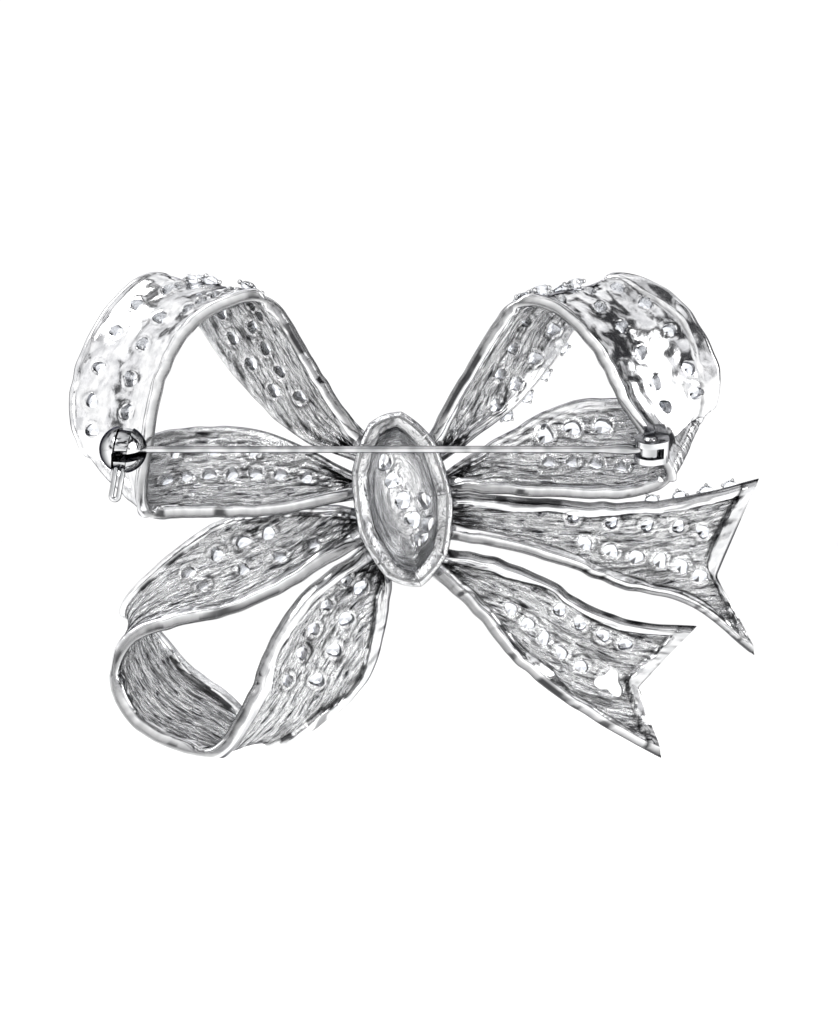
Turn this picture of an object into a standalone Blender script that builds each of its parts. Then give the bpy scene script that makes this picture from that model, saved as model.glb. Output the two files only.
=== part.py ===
"""Ribbon-bow brooch: five cast ribbons round a hollow knot, with a pin stem, hinge and ball safety catch.

Frame: the brooch as it is worn, +Z up, crystals towards -Y, pin side towards +Y.
The origin is the middle of the pin stem, which lies along X. Lengths below are in millimetres.
"""
import math

import bmesh
import bpy
from mathutils import Matrix, Vector

MM = 0.001

# Castings
RIBBON_THICKNESS = 0.8
HOLLOW_DEPTH = 1.3
RIBBON_STEPS = 44
TAIL_STEPS = 16
WIDTH_STEPS = 4
NOTCH_DEPTH = 4.0
NOTCH_SPAN = 1.5
KNOT_CENTRE = Vector((-2.0, -4.6, -4.9))
KNOT_HALF_SIZE = Vector((5.0, 8.0, 8.9))
KNOT_LEAN = math.radians(8.0)
KNOT_WALL = 0.9
KNOT_RIM_Y = -3.6
SOLDER_GAP = 0.15

# Crystals and their seats
CRYSTAL_RADIUS = 1.0
CRYSTAL_PAVILION = 0.85
CRYSTAL_GIRDLE = 0.1
CRYSTAL_CROWN = 0.35
CRYSTAL_TABLE_RADIUS = 0.6
CRYSTAL_FACETS = 8
SEAT_HOLE_RADIUS = 0.65
GIRDLE_ABOVE_FACE = 0.5
KNOT_ROW_LEAN = math.radians(22.0)
KNOT_ROW_PITCH = 2.4

# Pin stem, hinge and catch. The pin swings in the plane of X and OPENING.
STEM_RADIUS = 0.35
HINGE_X = -26.3
CATCH_X = 25.4
STEM_TIP_X = 26.0
TIP_LENGTH = 3.0
SWING_LEAN = math.radians(25.0)
EYE_RADIUS = 1.1
EYE_THICKNESS = 0.9
RIVET_RADIUS = 0.4
RIVET_RUNNING_GAP = 0.05
RIVET_HEAD_RADIUS = 0.75
RIVET_HEAD_HEIGHT = 0.25
PRESS_GAP = 0.02
CHEEK_THICKNESS = 0.6
CHEEK_GAP = 0.1
CHEEK_RADIUS = 1.5
YOKE_BACK = 1.9
YOKE_BACK_WALL = 0.6
BALL_RADIUS = 2.35
BALL_LEAN = math.radians(-10.0)
ROTOR_RADIUS = 1.9
ROTOR_HALF_WIDTH = 0.6
ROTOR_BORE = 0.6
ROTOR_POCKET_RADIUS = 2.0
ROTOR_POCKET_HALF_WIDTH = 0.72
MOUTH_WIDTH = 1.0
LEVER_REACH = 5.3
LEVER_WIRE_RADIUS = 0.26
LEVER_LEG_SPREAD = 0.4
ROUND_SIDES = 24

# Each ribbon is given by the stations its shape needs, as pairs of points on its two edges:
# the edge nearest the wearer, then the edge towards the front.
UPPER_CATCH_SIDE = [
    ((0.6, -5.0, -0.5), (2.0, -6.0, -1.3)),
    ((4.2, -3.4, 4.4), (8.4, -7.4, 1.3)),
    ((7.6, -2.8, 10.0), (14.9, -8.8, 7.3)),
    ((10.2, -2.3, 14.0), (19.1, -9.4, 13.3)),
    ((12.3, -2.0, 15.0), (21.3, -9.5, 16.2)),
    ((15.9, -1.9, 14.0), (24.2, -8.8, 17.1)),
    ((19.3, -2.1, 11.5), (28.5, -7.6, 13.2)),
    ((21.8, -2.6, 6.5), (31.6, -6.8, 6.7)),
    ((23.0, -3.1, 0.3), (31.3, -6.6, 1.6)),
    ((23.2, -3.3, -6.1), (29.7, -8.2, -0.2)),
    ((17.7, -3.5, -6.5), (21.7, -8.4, 2.2)),
    ((9.7, -3.7, -6.2), (12.5, -8.0, 2.2)),
    ((0.6, -5.0, -4.0), (2.0, -6.2, -2.6)),
]
UPPER_HINGE_SIDE = [
    ((-4.2, -4.8, -0.6), (-5.6, -6.0, -1.4)),
    ((-5.5, -3.6, 2.6), (-10.2, -7.0, 2.0)),
    ((-7.5, -3.0, 6.4), (-14.0, -8.4, 5.1)),
    ((-10.1, -2.6, 10.7), (-17.3, -9.2, 9.2)),
    ((-12.9, -2.1, 14.3), (-20.6, -9.8, 14.2)),
    ((-16.4, -1.8, 14.1), (-24.0, -9.4, 17.9)),
    ((-20.8, -2.1, 10.1), (-29.8, -8.0, 15.8)),
    ((-23.8, -2.8, 4.6), (-34.1, -6.9, 8.4)),
    ((-27.2, -3.2, -0.5), (-33.8, -7.6, 5.3)),
    ((-28.4, -3.3, -2.8), (-32.1, -8.6, 4.6)),
    ((-25.7, -3.4, -4.4), (-26.2, -8.6, 5.3)),
    ((-18.7, -3.6, -4.6), (-19.0, -8.2, 5.1)),
    ((-11.7, -3.9, -4.2), (-12.7, -7.4, 2.0)),
    ((-4.2, -5.0, -3.4), (-5.6, -6.2, -2.5)),
]
LOWER_CATCH_SIDE = [
    ((0.6, -4.9, -8.0), (0.6, -6.2, -6.3)),
    ((5.4, -3.6, -11.1), (5.4, -6.8, -5.4)),
    ((9.8, -3.0, -13.9), (10.5, -7.4, -5.6)),
    ((14.9, -2.6, -16.2), (15.8, -7.8, -6.6)),
    ((20.9, -2.3, -17.5), (21.6, -8.6, -10.6)),
    ((24.8, -2.0, -18.9), (26.2, -9.8, -16.4)),
    ((26.7, -1.9, -22.8), (23.4, -10.5, -18.5)),
    ((25.2, -1.9, -26.6), (19.9, -10.6, -22.2)),
    ((20.8, -2.0, -29.4), (15.2, -10.2, -25.7)),
    ((16.9, -2.0, -29.8), (12.4, -9.4, -29.2)),
    ((13.5, -2.3, -25.0), (7.5, -8.4, -28.3)),
    ((11.0, -2.8, -18.9), (1.7, -7.4, -23.4)),
    ((7.6, -3.3, -14.1), (-0.4, -7.0, -16.9)),
    ((0.6, -5.0, -9.2), (-1.2, -6.2, -10.4)),
]
UPPER_TAIL = [
    ((-4.8, -6.2, -4.2), (-4.8, -5.8, -8.4)),
    ((-11.8, -5.6, -4.5), (-12.0, -5.4, -9.8)),
    ((-17.8, -5.4, -5.0), (-17.4, -5.4, -11.2)),
    ((-25.8, -5.2, -5.2), (-24.1, -5.6, -13.8)),
    ((-32.2, -4.9, -4.2), (-30.9, -5.6, -15.6)),
    ((-37.7, -4.6, -2.8), (-37.3, -5.0, -20.5)),
]
LOWER_TAIL = [
    ((-4.8, -5.8, -9.6), (-4.2, -5.6, -11.6)),
    ((-11.4, -5.4, -10.8), (-9.2, -4.6, -16.2)),
    ((-16.6, -5.4, -12.9), (-12.6, -4.3, -20.4)),
    ((-20.9, -5.4, -15.6), (-16.6, -4.3, -23.9)),
    ((-25.9, -5.2, -17.2), (-21.8, -4.4, -27.4)),
    ((-31.5, -4.9, -17.6), (-27.9, -4.6, -30.8)),
]


def remove_all_objects():
    """Start from an empty file."""
    for item in list(bpy.data.objects):
        bpy.data.objects.remove(item, do_unlink=True)


def make_collection(name):
    """Return a new collection linked to the scene."""
    collection = bpy.data.collections.new(name)
    bpy.context.scene.collection.children.link(collection)
    return collection


def make_material(name, colour, roughness, metallic):
    """A plain Principled material for one sub-part."""
    material = bpy.data.materials.new(name)
    material.use_nodes = True
    shader = material.node_tree.nodes["Principled BSDF"]
    shader.inputs["Base Color"].default_value = (*colour, 1.0)
    shader.inputs["Roughness"].default_value = roughness
    shader.inputs["Metallic"].default_value = metallic
    return material


def add_object(name, mesh, collection, material=None, location=(0.0, 0.0, 0.0)):
    """Put a mesh in the file as a named object; its location is in millimetres."""
    item = bpy.data.objects.new(name, mesh)
    item.location = Vector(location) * MM
    collection.objects.link(item)
    if material:
        mesh.materials.clear()
        mesh.materials.append(material)
    return item


def mesh_from(build, name):
    """Run a function that fills a bmesh, and return the mesh it makes, in metres."""
    shape = bmesh.new()
    build(shape)
    bmesh.ops.scale(shape, vec=(MM, MM, MM), verts=shape.verts)
    bmesh.ops.recalc_face_normals(shape, faces=shape.faces)
    mesh = bpy.data.meshes.new(name)
    shape.to_mesh(mesh)
    shape.free()
    return mesh


def as_cutter(item):
    """Mark an object as a guide for a Boolean."""
    item.hide_render = True
    item.display_type = "WIRE"
    return item


def boolean(target, other, operation):
    """Add an exact Boolean modifier."""
    modifier = target.modifiers.new(operation.title(), "BOOLEAN")
    modifier.operation = operation
    modifier.solver = "EXACT"
    modifier.object = other
    return modifier


def bake(item):
    """Replace an object's mesh by its evaluated mesh and drop its modifiers."""
    bpy.context.view_layer.update()
    depsgraph = bpy.context.evaluated_depsgraph_get()
    mesh = bpy.data.meshes.new_from_object(item.evaluated_get(depsgraph))
    item.modifiers.clear()
    item.data = mesh
    return item


def smooth_round(item, sharp_degrees=35.0):
    """Shade round faces smooth and keep true edges sharp."""
    item.data.shade_smooth()
    item.data.set_sharp_from_angle(angle=math.radians(sharp_degrees))


def keep_body_nearest(item, point):
    """Of the loose bodies in a mesh, keep the one with a vertex nearest to the point in millimetres."""
    shape = bmesh.new()
    shape.from_mesh(item.data)
    target = Vector(point) * MM
    nearest = min(shape.verts, key=lambda vertex: (item.matrix_world @ vertex.co - target).length)
    kept = {nearest}
    queue = [nearest]
    while queue:
        vertex = queue.pop()
        for edge in vertex.link_edges:
            other = edge.other_vert(vertex)
            if other not in kept:
                kept.add(other)
                queue.append(other)
    loose = [vertex for vertex in shape.verts if vertex not in kept]
    bmesh.ops.delete(shape, geom=loose, context="VERTS")
    shape.to_mesh(item.data)
    shape.free()


# ---------------------------------------------------------------- ribbons


def spline(points, position):
    """A centripetal Catmull-Rom curve through the points; position runs from 0 to len(points) - 1."""
    last = len(points) - 1
    index = min(int(position), last - 1)
    fraction = position - index
    before = points[index - 1] if index > 0 else points[0] * 2 - points[1]
    after = points[index + 2] if index + 2 <= last else points[last] * 2 - points[last - 1]
    four = [before, points[index], points[index + 1], after]
    knots = [0.0]
    for first, second in zip(four, four[1:]):
        knots.append(knots[-1] + math.sqrt(max((second - first).length, 1e-6)))
    moment = knots[1] + (knots[2] - knots[1]) * fraction

    def mix(first, second, start, end):
        return first * ((end - moment) / (end - start)) + second * ((moment - start) / (end - start))

    level_one = [mix(four[i], four[i + 1], knots[i], knots[i + 1]) for i in range(3)]
    level_two = [mix(level_one[i], level_one[i + 1], knots[i], knots[i + 2]) for i in range(2)]
    return mix(level_two[0], level_two[1], knots[1], knots[2])


class Ribbon:
    """A hollowed band between two edge curves."""

    def __init__(self, stations, notched=False):
        self.near = [Vector(near) for near, front in stations]
        self.front = [Vector(front) for near, front in stations]
        self.last = len(stations) - 1
        self.notched = notched

    def frame(self, along):
        """Edge points and surface normal of the straight chord at a station position."""
        near = spline(self.near, along)
        front = spline(self.front, along)
        step = 0.02
        start = max(along - step, 0.0)
        end = min(along + step, float(self.last))
        run = spline(self.near, end) + spline(self.front, end)
        run -= spline(self.near, start) + spline(self.front, start)
        normal = run.cross(front - near).normalized()
        return near, front, normal

    def point(self, along, across):
        """A point of the middle surface: across is 0 at the near edge and 1 at the front edge."""
        near, front, normal = self.frame(along)
        place = near.lerp(front, across)
        hollow = HOLLOW_DEPTH * 4.0 * across * (1.0 - across)
        place -= normal * (normal.y * hollow)
        if self.notched:
            into_end = max(along - (self.last - NOTCH_SPAN), 0.0) / NOTCH_SPAN
            middle = 1.0 - abs(2.0 * across - 1.0)
            back = (spline(self.near, self.last - 1) - spline(self.near, self.last)).normalized()
            place += back * (NOTCH_DEPTH * middle * into_end ** 1.5)
        return place

    def outward(self, along, across):
        """The surface normal on the crystal side: forwards, or outwards where the ribbon folds."""
        small = 0.02
        run = self.point(min(along + small, self.last), across) - self.point(max(along - small, 0.0), across)
        width = self.point(along, min(across + small, 1.0)) - self.point(along, max(across - small, 0.0))
        normal = run.cross(width).normalized()
        return normal if normal.y < 0.0 else -normal


def ribbon_mesh(ribbon, name, steps):
    """A grid laid on the ribbon's middle surface."""

    def build(shape):
        bmesh.ops.create_grid(shape, x_segments=steps, y_segments=WIDTH_STEPS, size=0.5)
        for vertex in shape.verts:
            along = (vertex.co.x + 0.5) * ribbon.last
            vertex.co = ribbon.point(along, vertex.co.y + 0.5)

    return mesh_from(build, name)


def thicken(item, thickness):
    """Give an open surface a wall, half to each side."""
    solidify = item.modifiers.new("Wall", "SOLIDIFY")
    solidify.thickness = thickness * MM
    solidify.offset = 0.0
    solidify.use_even_offset = True


def seat_cutters(places, name, collection):
    """Short drills through the casting at each (point, outward normal)."""
    drill_length = 4.0

    def build(shape):
        for point, normal in places:
            turn = Vector((0.0, 0.0, 1.0)).rotation_difference(normal).to_matrix().to_4x4()
            bmesh.ops.create_cone(
                shape, cap_ends=True, segments=CRYSTAL_FACETS, radius1=SEAT_HOLE_RADIUS,
                radius2=SEAT_HOLE_RADIUS, depth=drill_length, matrix=Matrix.Translation(point) @ turn)

    return as_cutter(add_object(name, mesh_from(build, name), collection))


def crystal_mesh(material):
    """A round brilliant as one turned profile: culet down, table up, girdle at zero."""
    mesh = bpy.data.meshes.new("crystal_profile")
    table_height = CRYSTAL_GIRDLE + CRYSTAL_CROWN
    profile = [
        (0.0, table_height),
        (CRYSTAL_TABLE_RADIUS, table_height),
        (CRYSTAL_RADIUS, CRYSTAL_GIRDLE),
        (CRYSTAL_RADIUS, 0.0),
        (0.0, -CRYSTAL_PAVILION),
    ]
    points = [(radius * MM, 0.0, height * MM) for radius, height in profile]
    mesh.from_pydata(points, [(i, i + 1) for i in range(len(points) - 1)], [])
    item = bpy.data.objects.new("crystal_profile", mesh)
    bpy.context.scene.collection.objects.link(item)
    screw = item.modifiers.new("Turn", "SCREW")
    screw.steps = CRYSTAL_FACETS
    screw.render_steps = CRYSTAL_FACETS
    screw.use_merge_vertices = True
    screw.merge_threshold = 0.00001
    bake(item)
    turned = item.data
    bpy.data.objects.remove(item)
    turned.materials.append(material)
    return turned


def place_crystals(prefix, places, mesh, collection):
    """One crystal object over each seat, table outwards."""
    for number, (point, normal) in enumerate(places, start=1):
        item = bpy.data.objects.new(f"{prefix}_{number}", mesh)
        item.location = (point + normal * (RIBBON_THICKNESS / 2 + GIRDLE_ABOVE_FACE)) * MM
        item.rotation_mode = "QUATERNION"
        item.rotation_quaternion = Vector((0.0, 0.0, 1.0)).rotation_difference(normal)
        collection.objects.link(item)


def row(ribbon, start, end, count, across_start, across_end):
    """Seats spread evenly between two station positions."""
    places = []
    for index in range(count):
        fraction = index / (count - 1)
        along = start + (end - start) * fraction
        across = across_start + (across_end - across_start) * fraction
        places.append((ribbon.point(along, across), ribbon.outward(along, across)))
    return places


# ---------------------------------------------------------------- knot


def knot_matrix(extra=0.0):
    """Unit ball to the knot's outer egg, grown by extra."""
    size = KNOT_HALF_SIZE + Vector((extra, extra, extra))
    lean = Matrix.Rotation(KNOT_LEAN, 4, "Y")
    return Matrix.Translation(KNOT_CENTRE) @ lean @ Matrix.Diagonal((*size, 1.0))


def egg_mesh(name, extra, segments, rings):
    """The knot's outer egg as a closed ball."""

    def build(shape):
        poles_along_y = Matrix.Rotation(math.pi / 2, 4, "X")
        bmesh.ops.create_uvsphere(
            shape, u_segments=segments, v_segments=rings, radius=1.0, matrix=knot_matrix(extra) @ poles_along_y)

    return mesh_from(build, name)


def knot_places():
    """Seats on the knot: a leaning row of five down the middle, and two beside it."""
    spots = [(0.0, step * KNOT_ROW_PITCH) for step in (2, 1, 0, -1, -2)]
    spots = [(height * math.sin(KNOT_ROW_LEAN), height * math.cos(KNOT_ROW_LEAN)) for _, height in spots]
    spots += [(-3.2, -0.3), (-3.1, -2.8)]
    places = []
    for x, z in spots:
        level = math.sqrt(1.0 - (x / KNOT_HALF_SIZE.x) ** 2 - (z / KNOT_HALF_SIZE.z) ** 2)
        local = Vector((x, -level * KNOT_HALF_SIZE.y, z))
        normal = Vector(component / half ** 2 for component, half in zip(local, KNOT_HALF_SIZE))
        lean = Matrix.Rotation(KNOT_LEAN, 3, "Y")
        middle_of_wall = lean @ (local - normal.normalized() * (KNOT_WALL / 2))
        places.append((KNOT_CENTRE + middle_of_wall, (lean @ normal).normalized()))
    return places


def make_knot(collection, cutters, places, material):
    """A cast egg, open at the back, with a wall of even thickness."""
    mesh = egg_mesh("knot", 0.0, 20, 16)
    shape = bmesh.new()
    shape.from_mesh(mesh)
    rim = Vector((0.0, KNOT_RIM_Y * MM, 0.0))
    bmesh.ops.bisect_plane(
        shape, geom=shape.verts[:] + shape.edges[:] + shape.faces[:], plane_co=rim,
        plane_no=Vector((0.0, 1.0, 0.0)), clear_outer=True)
    shape.to_mesh(mesh)
    shape.free()
    knot = add_object("knot", mesh, collection, material)
    solidify = knot.modifiers.new("Wall", "SOLIDIFY")
    solidify.thickness = KNOT_WALL * MM
    solidify.offset = -1.0
    boolean(knot, seat_cutters(places, "knot_seats", cutters), "DIFFERENCE")
    return knot


# ---------------------------------------------------------------- findings


def swing_matrix(origin_x):
    """Axes of the pin's swing: X along the stem, Y the way the tip leaves, Z the hinge axis."""
    return Matrix.Translation((origin_x * MM, 0.0, 0.0)) @ Matrix.Rotation(-SWING_LEAN, 4, "X")


def cylinder(shape, radius, low, high, centre=(0.0, 0.0), segments=ROUND_SIDES):
    """A cylinder along Z between two heights."""
    place = Matrix.Translation((centre[0], centre[1], (low + high) / 2))
    bmesh.ops.create_cone(
        shape, cap_ends=True, segments=segments, radius1=radius, radius2=radius, depth=high - low, matrix=place)


def box(shape, low, high):
    """A block between two corners."""
    low = Vector(low)
    high = Vector(high)
    place = Matrix.Translation((low + high) / 2) @ Matrix.Diagonal((*(high - low), 1.0))
    bmesh.ops.create_cube(shape, size=1.0, matrix=place)


def body_from(build, name, collection, matrix, material=None):
    """A closed body made by a bmesh function, placed by a matrix."""
    item = add_object(name, mesh_from(build, name), collection, material)
    item.matrix_world = matrix
    return item


def turned_mesh(profile, name):
    """A profile of (radius, height) pairs turned round Z, top to bottom."""
    mesh = bpy.data.meshes.new(name)
    points = [(radius * MM, 0.0, height * MM) for radius, height in profile]
    mesh.from_pydata(points, [(i, i + 1) for i in range(len(points) - 1)], [])
    item = bpy.data.objects.new(name, mesh)
    bpy.context.scene.collection.objects.link(item)
    screw = item.modifiers.new("Turn", "SCREW")
    screw.steps = ROUND_SIDES
    screw.render_steps = ROUND_SIDES
    screw.use_merge_vertices = True
    screw.merge_threshold = 0.00001
    bake(item)
    turned = item.data
    bpy.data.objects.remove(item)
    return turned


def make_hinge(collection, cutters, ribbon_guard, yoke_material, rivet_material):
    """The fork with its foot, and the rivet that closes it."""
    place = swing_matrix(HINGE_X)
    inner = EYE_THICKNESS / 2 + CHEEK_GAP
    outer = inner + CHEEK_THICKNESS
    foot_depth = 3.2
    foot_low = CHEEK_RADIUS - 0.2

    def cheeks(shape):
        cylinder(shape, CHEEK_RADIUS, -outer, outer)

    def frame(shape):
        box(shape, (-YOKE_BACK, -foot_low, -outer), (0.6, 1.0, outer))

    def foot(shape):
        box(shape, (-YOKE_BACK + 0.1, -foot_low - foot_depth, -outer + 0.1), (0.3, -foot_low + 0.1, outer - 0.1))

    def throat(shape):
        box(shape, (-YOKE_BACK + YOKE_BACK_WALL, -foot_low, -inner), (3.0, 3.0, inner))

    def bore(shape):
        cylinder(shape, RIVET_RADIUS + PRESS_GAP, -3.0, 3.0)

    yoke = body_from(cheeks, "hinge_yoke", collection, place, yoke_material)
    boolean(yoke, as_cutter(body_from(frame, "yoke_frame", cutters, place)), "UNION")
    boolean(yoke, as_cutter(body_from(foot, "yoke_foot", cutters, place)), "UNION")
    boolean(yoke, as_cutter(body_from(throat, "yoke_throat", cutters, place)), "DIFFERENCE")
    boolean(yoke, as_cutter(body_from(bore, "yoke_bore", cutters, place)), "DIFFERENCE")
    boolean(yoke, ribbon_guard, "DIFFERENCE")
    bake(yoke)
    keep_body_nearest(yoke, (HINGE_X, 2.0, 0.0))
    smooth_round(yoke)

    head_start = outer + PRESS_GAP
    head_end = head_start + RIVET_HEAD_HEIGHT
    profile = [
        (0.0, head_end), (RIVET_HEAD_RADIUS * 0.7, head_end), (RIVET_HEAD_RADIUS, head_start),
        (RIVET_RADIUS, head_start), (RIVET_RADIUS, -head_start),
        (RIVET_HEAD_RADIUS, -head_start), (RIVET_HEAD_RADIUS * 0.7, -head_end), (0.0, -head_end),
    ]
    rivet = add_object("hinge_rivet", turned_mesh(profile, "hinge_rivet"), collection, rivet_material)
    rivet.matrix_world = place
    smooth_round(rivet)


def make_stem(collection, cutters, material):
    """The pin: a round eye, a flattened neck and a wire that tapers to its point."""
    place = swing_matrix(HINGE_X)
    wire_end = STEM_TIP_X - HINGE_X
    half = EYE_THICKNESS / 2

    def eye(shape):
        cylinder(shape, EYE_RADIUS, -half, half)

    def wire(shape):
        taper_start = wire_end - TIP_LENGTH
        turn = Matrix.Rotation(math.pi / 2, 4, "Y")
        bmesh.ops.create_cone(
            shape, cap_ends=True, segments=16, radius1=STEM_RADIUS, radius2=STEM_RADIUS,
            depth=taper_start - 0.6, matrix=Matrix.Translation(((taper_start + 0.6) / 2, 0.0, 0.0)) @ turn)
        tip = [face for face in shape.faces if face.calc_center_median().x > taper_start - 0.01]
        new = bmesh.ops.extrude_discrete_faces(shape, faces=tip)["faces"]
        ends = {vertex for face in new for vertex in face.verts}
        for vertex in ends:
            vertex.co = Vector((wire_end, vertex.co.y * 0.25, vertex.co.z * 0.25))

    def bore(shape):
        cylinder(shape, RIVET_RADIUS + RIVET_RUNNING_GAP, -3.0, 3.0)

    stem = body_from(eye, "pin_stem", collection, place, material)
    boolean(stem, as_cutter(body_from(wire, "stem_wire", cutters, place)), "UNION")
    boolean(stem, as_cutter(body_from(bore, "eye_bore", cutters, place)), "DIFFERENCE")
    bake(stem)
    smooth_round(stem)


def ball_matrix():
    """Axes of the catch ball: X is the rotor's axis, close to the stem's own line."""
    return Matrix.Translation((CATCH_X * MM, 0.0, 0.0)) @ Matrix.Rotation(BALL_LEAN, 4, "Y")


def along_x(matrix):
    """Turn a body that was built along Z so that it lies along X."""
    return matrix @ Matrix.Rotation(math.pi / 2, 4, "Y")


def cut_mouth(item, cutters, low_x, high_x, width):
    """Cut a bore along the stem's line and the slit that leads out of it along the pin's path."""
    place = swing_matrix(CATCH_X)

    def slit(shape):
        box(shape, (low_x, 0.0, -width / 2), (high_x, 4.0, width / 2))

    def bore(shape):
        cylinder(shape, width / 2, low_x, high_x)

    name = item.name
    boolean(item, as_cutter(body_from(bore, f"{name}_bore", cutters, along_x(place))), "DIFFERENCE")
    boolean(item, as_cutter(body_from(slit, f"{name}_slit", cutters, place)), "DIFFERENCE")


def make_catch(collection, cutters, ribbon_guard, housing_material, rotor_material):
    """The slotted ball on its foot, and the rotor with its hairpin lever."""
    place = ball_matrix()
    turned = along_x(place)

    def ball(shape):
        bmesh.ops.create_uvsphere(shape, u_segments=24, v_segments=14, radius=BALL_RADIUS)

    def foot(shape):
        box(shape, (-1.25, -7.5, -1.4), (1.25, -BALL_RADIUS + 0.4, 1.4))

    def pocket(shape):
        cylinder(shape, ROTOR_POCKET_RADIUS, -ROTOR_POCKET_HALF_WIDTH, ROTOR_POCKET_HALF_WIDTH)

    def slot(shape):
        wide = ROTOR_POCKET_HALF_WIDTH
        box(shape, (-wide, -0.9, -3.0), (wide, 3.0, 3.0))

    housing = body_from(ball, "catch_housing", collection, turned, housing_material)
    boolean(housing, as_cutter(body_from(foot, "catch_foot", cutters, place)), "UNION")
    boolean(housing, as_cutter(body_from(pocket, "catch_pocket", cutters, turned)), "DIFFERENCE")
    boolean(housing, as_cutter(body_from(slot, "catch_slot", cutters, place)), "DIFFERENCE")
    cut_mouth(housing, cutters, -3.0, 0.9, MOUTH_WIDTH)
    boolean(housing, ribbon_guard, "DIFFERENCE")
    bake(housing)
    keep_body_nearest(housing, (CATCH_X, 2.5, 0.0))
    smooth_round(housing)

    def disc(shape):
        cylinder(shape, ROTOR_RADIUS, -ROTOR_HALF_WIDTH, ROTOR_HALF_WIDTH)

    rotor = body_from(disc, "catch_rotor", collection, turned, rotor_material)
    lever = lever_object(cutters, place)
    boolean(rotor, lever, "UNION")
    cut_mouth(rotor, cutters, -3.0, 3.0, ROTOR_BORE * 2)
    bake(rotor)
    smooth_round(rotor)


def lever_object(cutters, place):
    """A hairpin of wire that hangs from the rotor's rim."""
    path = bpy.data.curves.new("lever_wire", "CURVE")
    path.dimensions = "3D"
    path.bevel_depth = LEVER_WIRE_RADIUS * MM
    path.bevel_resolution = 2
    path.use_fill_caps = True
    bend = 6
    bottom = -LEVER_REACH + LEVER_LEG_SPREAD + LEVER_WIRE_RADIUS
    route = [(-LEVER_LEG_SPREAD, -1.2)]
    for step in range(bend + 1):
        angle = math.pi + math.pi * step / bend
        route.append((LEVER_LEG_SPREAD * math.cos(angle), bottom + LEVER_LEG_SPREAD * math.sin(angle)))
    route.append((LEVER_LEG_SPREAD, -1.2))
    wire = path.splines.new("POLY")
    wire.points.add(len(route) - 1)
    for point, (x, z) in zip(wire.points, route):
        point.co = (x * MM, 0.0, z * MM, 1.0)
    curve = bpy.data.objects.new("lever_wire", path)
    cutters.objects.link(curve)
    bpy.context.view_layer.update()
    mesh = bpy.data.meshes.new_from_object(curve.evaluated_get(bpy.context.evaluated_depsgraph_get()))
    bpy.data.objects.remove(curve)
    shape = bmesh.new()
    shape.from_mesh(mesh)
    bmesh.ops.remove_doubles(shape, verts=shape.verts, dist=0.000001)
    bmesh.ops.recalc_face_normals(shape, faces=shape.faces)
    shape.to_mesh(mesh)
    shape.free()
    lever = add_object("lever", mesh, cutters)
    lever.matrix_world = place
    return as_cutter(lever)


# ---------------------------------------------------------------- assembly


def make_ribbon(name, stations, rows, steps, parts, cutters, knot_guard, material, crystal, notched=False):
    """One cast ribbon with its drilled seats and crystals. Returns a thicker copy that guards it."""
    ribbon = Ribbon(stations, notched)
    item = add_object(name, ribbon_mesh(ribbon, name, steps), parts, material)
    thicken(item, RIBBON_THICKNESS)
    places = []
    for numbers in rows:
        places += row(ribbon, *numbers)
    boolean(item, knot_guard, "DIFFERENCE")
    boolean(item, seat_cutters(places, f"{name}_seats", cutters), "DIFFERENCE")
    place_crystals(f"crystal_{name}", places, crystal, parts)
    guard = as_cutter(add_object(f"{name}_guard", ribbon_mesh(ribbon, f"{name}_guard", steps), cutters))
    thicken(guard, RIBBON_THICKNESS + 2 * SOLDER_GAP)
    return guard


def main():
    remove_all_objects()
    parts = make_collection("ribbon_bow_brooch")
    cutters = make_collection("cutters")
    silver = (0.78, 0.79, 0.80)
    crystal = crystal_mesh(make_material("crystal", (0.92, 0.94, 0.96), 0.05, 0.0))

    places = knot_places()
    make_knot(parts, cutters, places, make_material("knot", silver, 0.22, 1.0))
    place_crystals("crystal_knot", places, crystal, parts)
    knot_guard = as_cutter(add_object("knot_guard", egg_mesh("knot_guard", SOLDER_GAP, 20, 16), cutters))

    catch_guard = make_ribbon(
        "loop_upper_catch_side", UPPER_CATCH_SIDE,
        [(5.62, 7.83, 5, 0.77, 0.78), (9.7, 11.35, 7, 0.5, 0.5)],
        RIBBON_STEPS, parts, cutters, knot_guard, make_material("upper_catch_loop", silver, 0.2, 1.0), crystal)
    hinge_guard = make_ribbon(
        "loop_upper_hinge_side", UPPER_HINGE_SIDE,
        [(1.73, 3.58, 4, 0.77, 0.78), (5.3, 7.35, 5, 0.78, 0.74), (2.45, 3.6, 3, 0.52, 0.40)],
        RIBBON_STEPS, parts, cutters, knot_guard, make_material("upper_hinge_loop", silver, 0.2, 1.0), crystal)
    make_ribbon(
        "loop_lower_catch_side", LOWER_CATCH_SIDE,
        [(2.27, 3.73, 4, 0.75, 0.67), (10.53, 12.35, 5, 0.35, 0.30)],
        RIBBON_STEPS, parts, cutters, knot_guard, make_material("lower_loop", silver, 0.2, 1.0), crystal)
    make_ribbon(
        "tail_upper", UPPER_TAIL, [(2.2, 4.2, 5, 0.22, 0.32)],
        TAIL_STEPS, parts, cutters, knot_guard, make_material("upper_tail", silver, 0.2, 1.0), crystal, True)
    make_ribbon(
        "tail_lower", LOWER_TAIL, [(2.5, 3.95, 4, 0.20, 0.22)],
        TAIL_STEPS, parts, cutters, knot_guard, make_material("lower_tail", silver, 0.2, 1.0), crystal, True)

    make_hinge(
        parts, cutters, hinge_guard, make_material("hinge_yoke", silver, 0.16, 1.0),
        make_material("hinge_rivet", silver, 0.2, 1.0))
    make_stem(parts, cutters, make_material("pin_stem", (0.7, 0.71, 0.73), 0.12, 1.0))
    make_catch(
        parts, cutters, catch_guard, make_material("catch_housing", silver, 0.12, 1.0),
        make_material("catch_rotor", silver, 0.14, 1.0))


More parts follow.
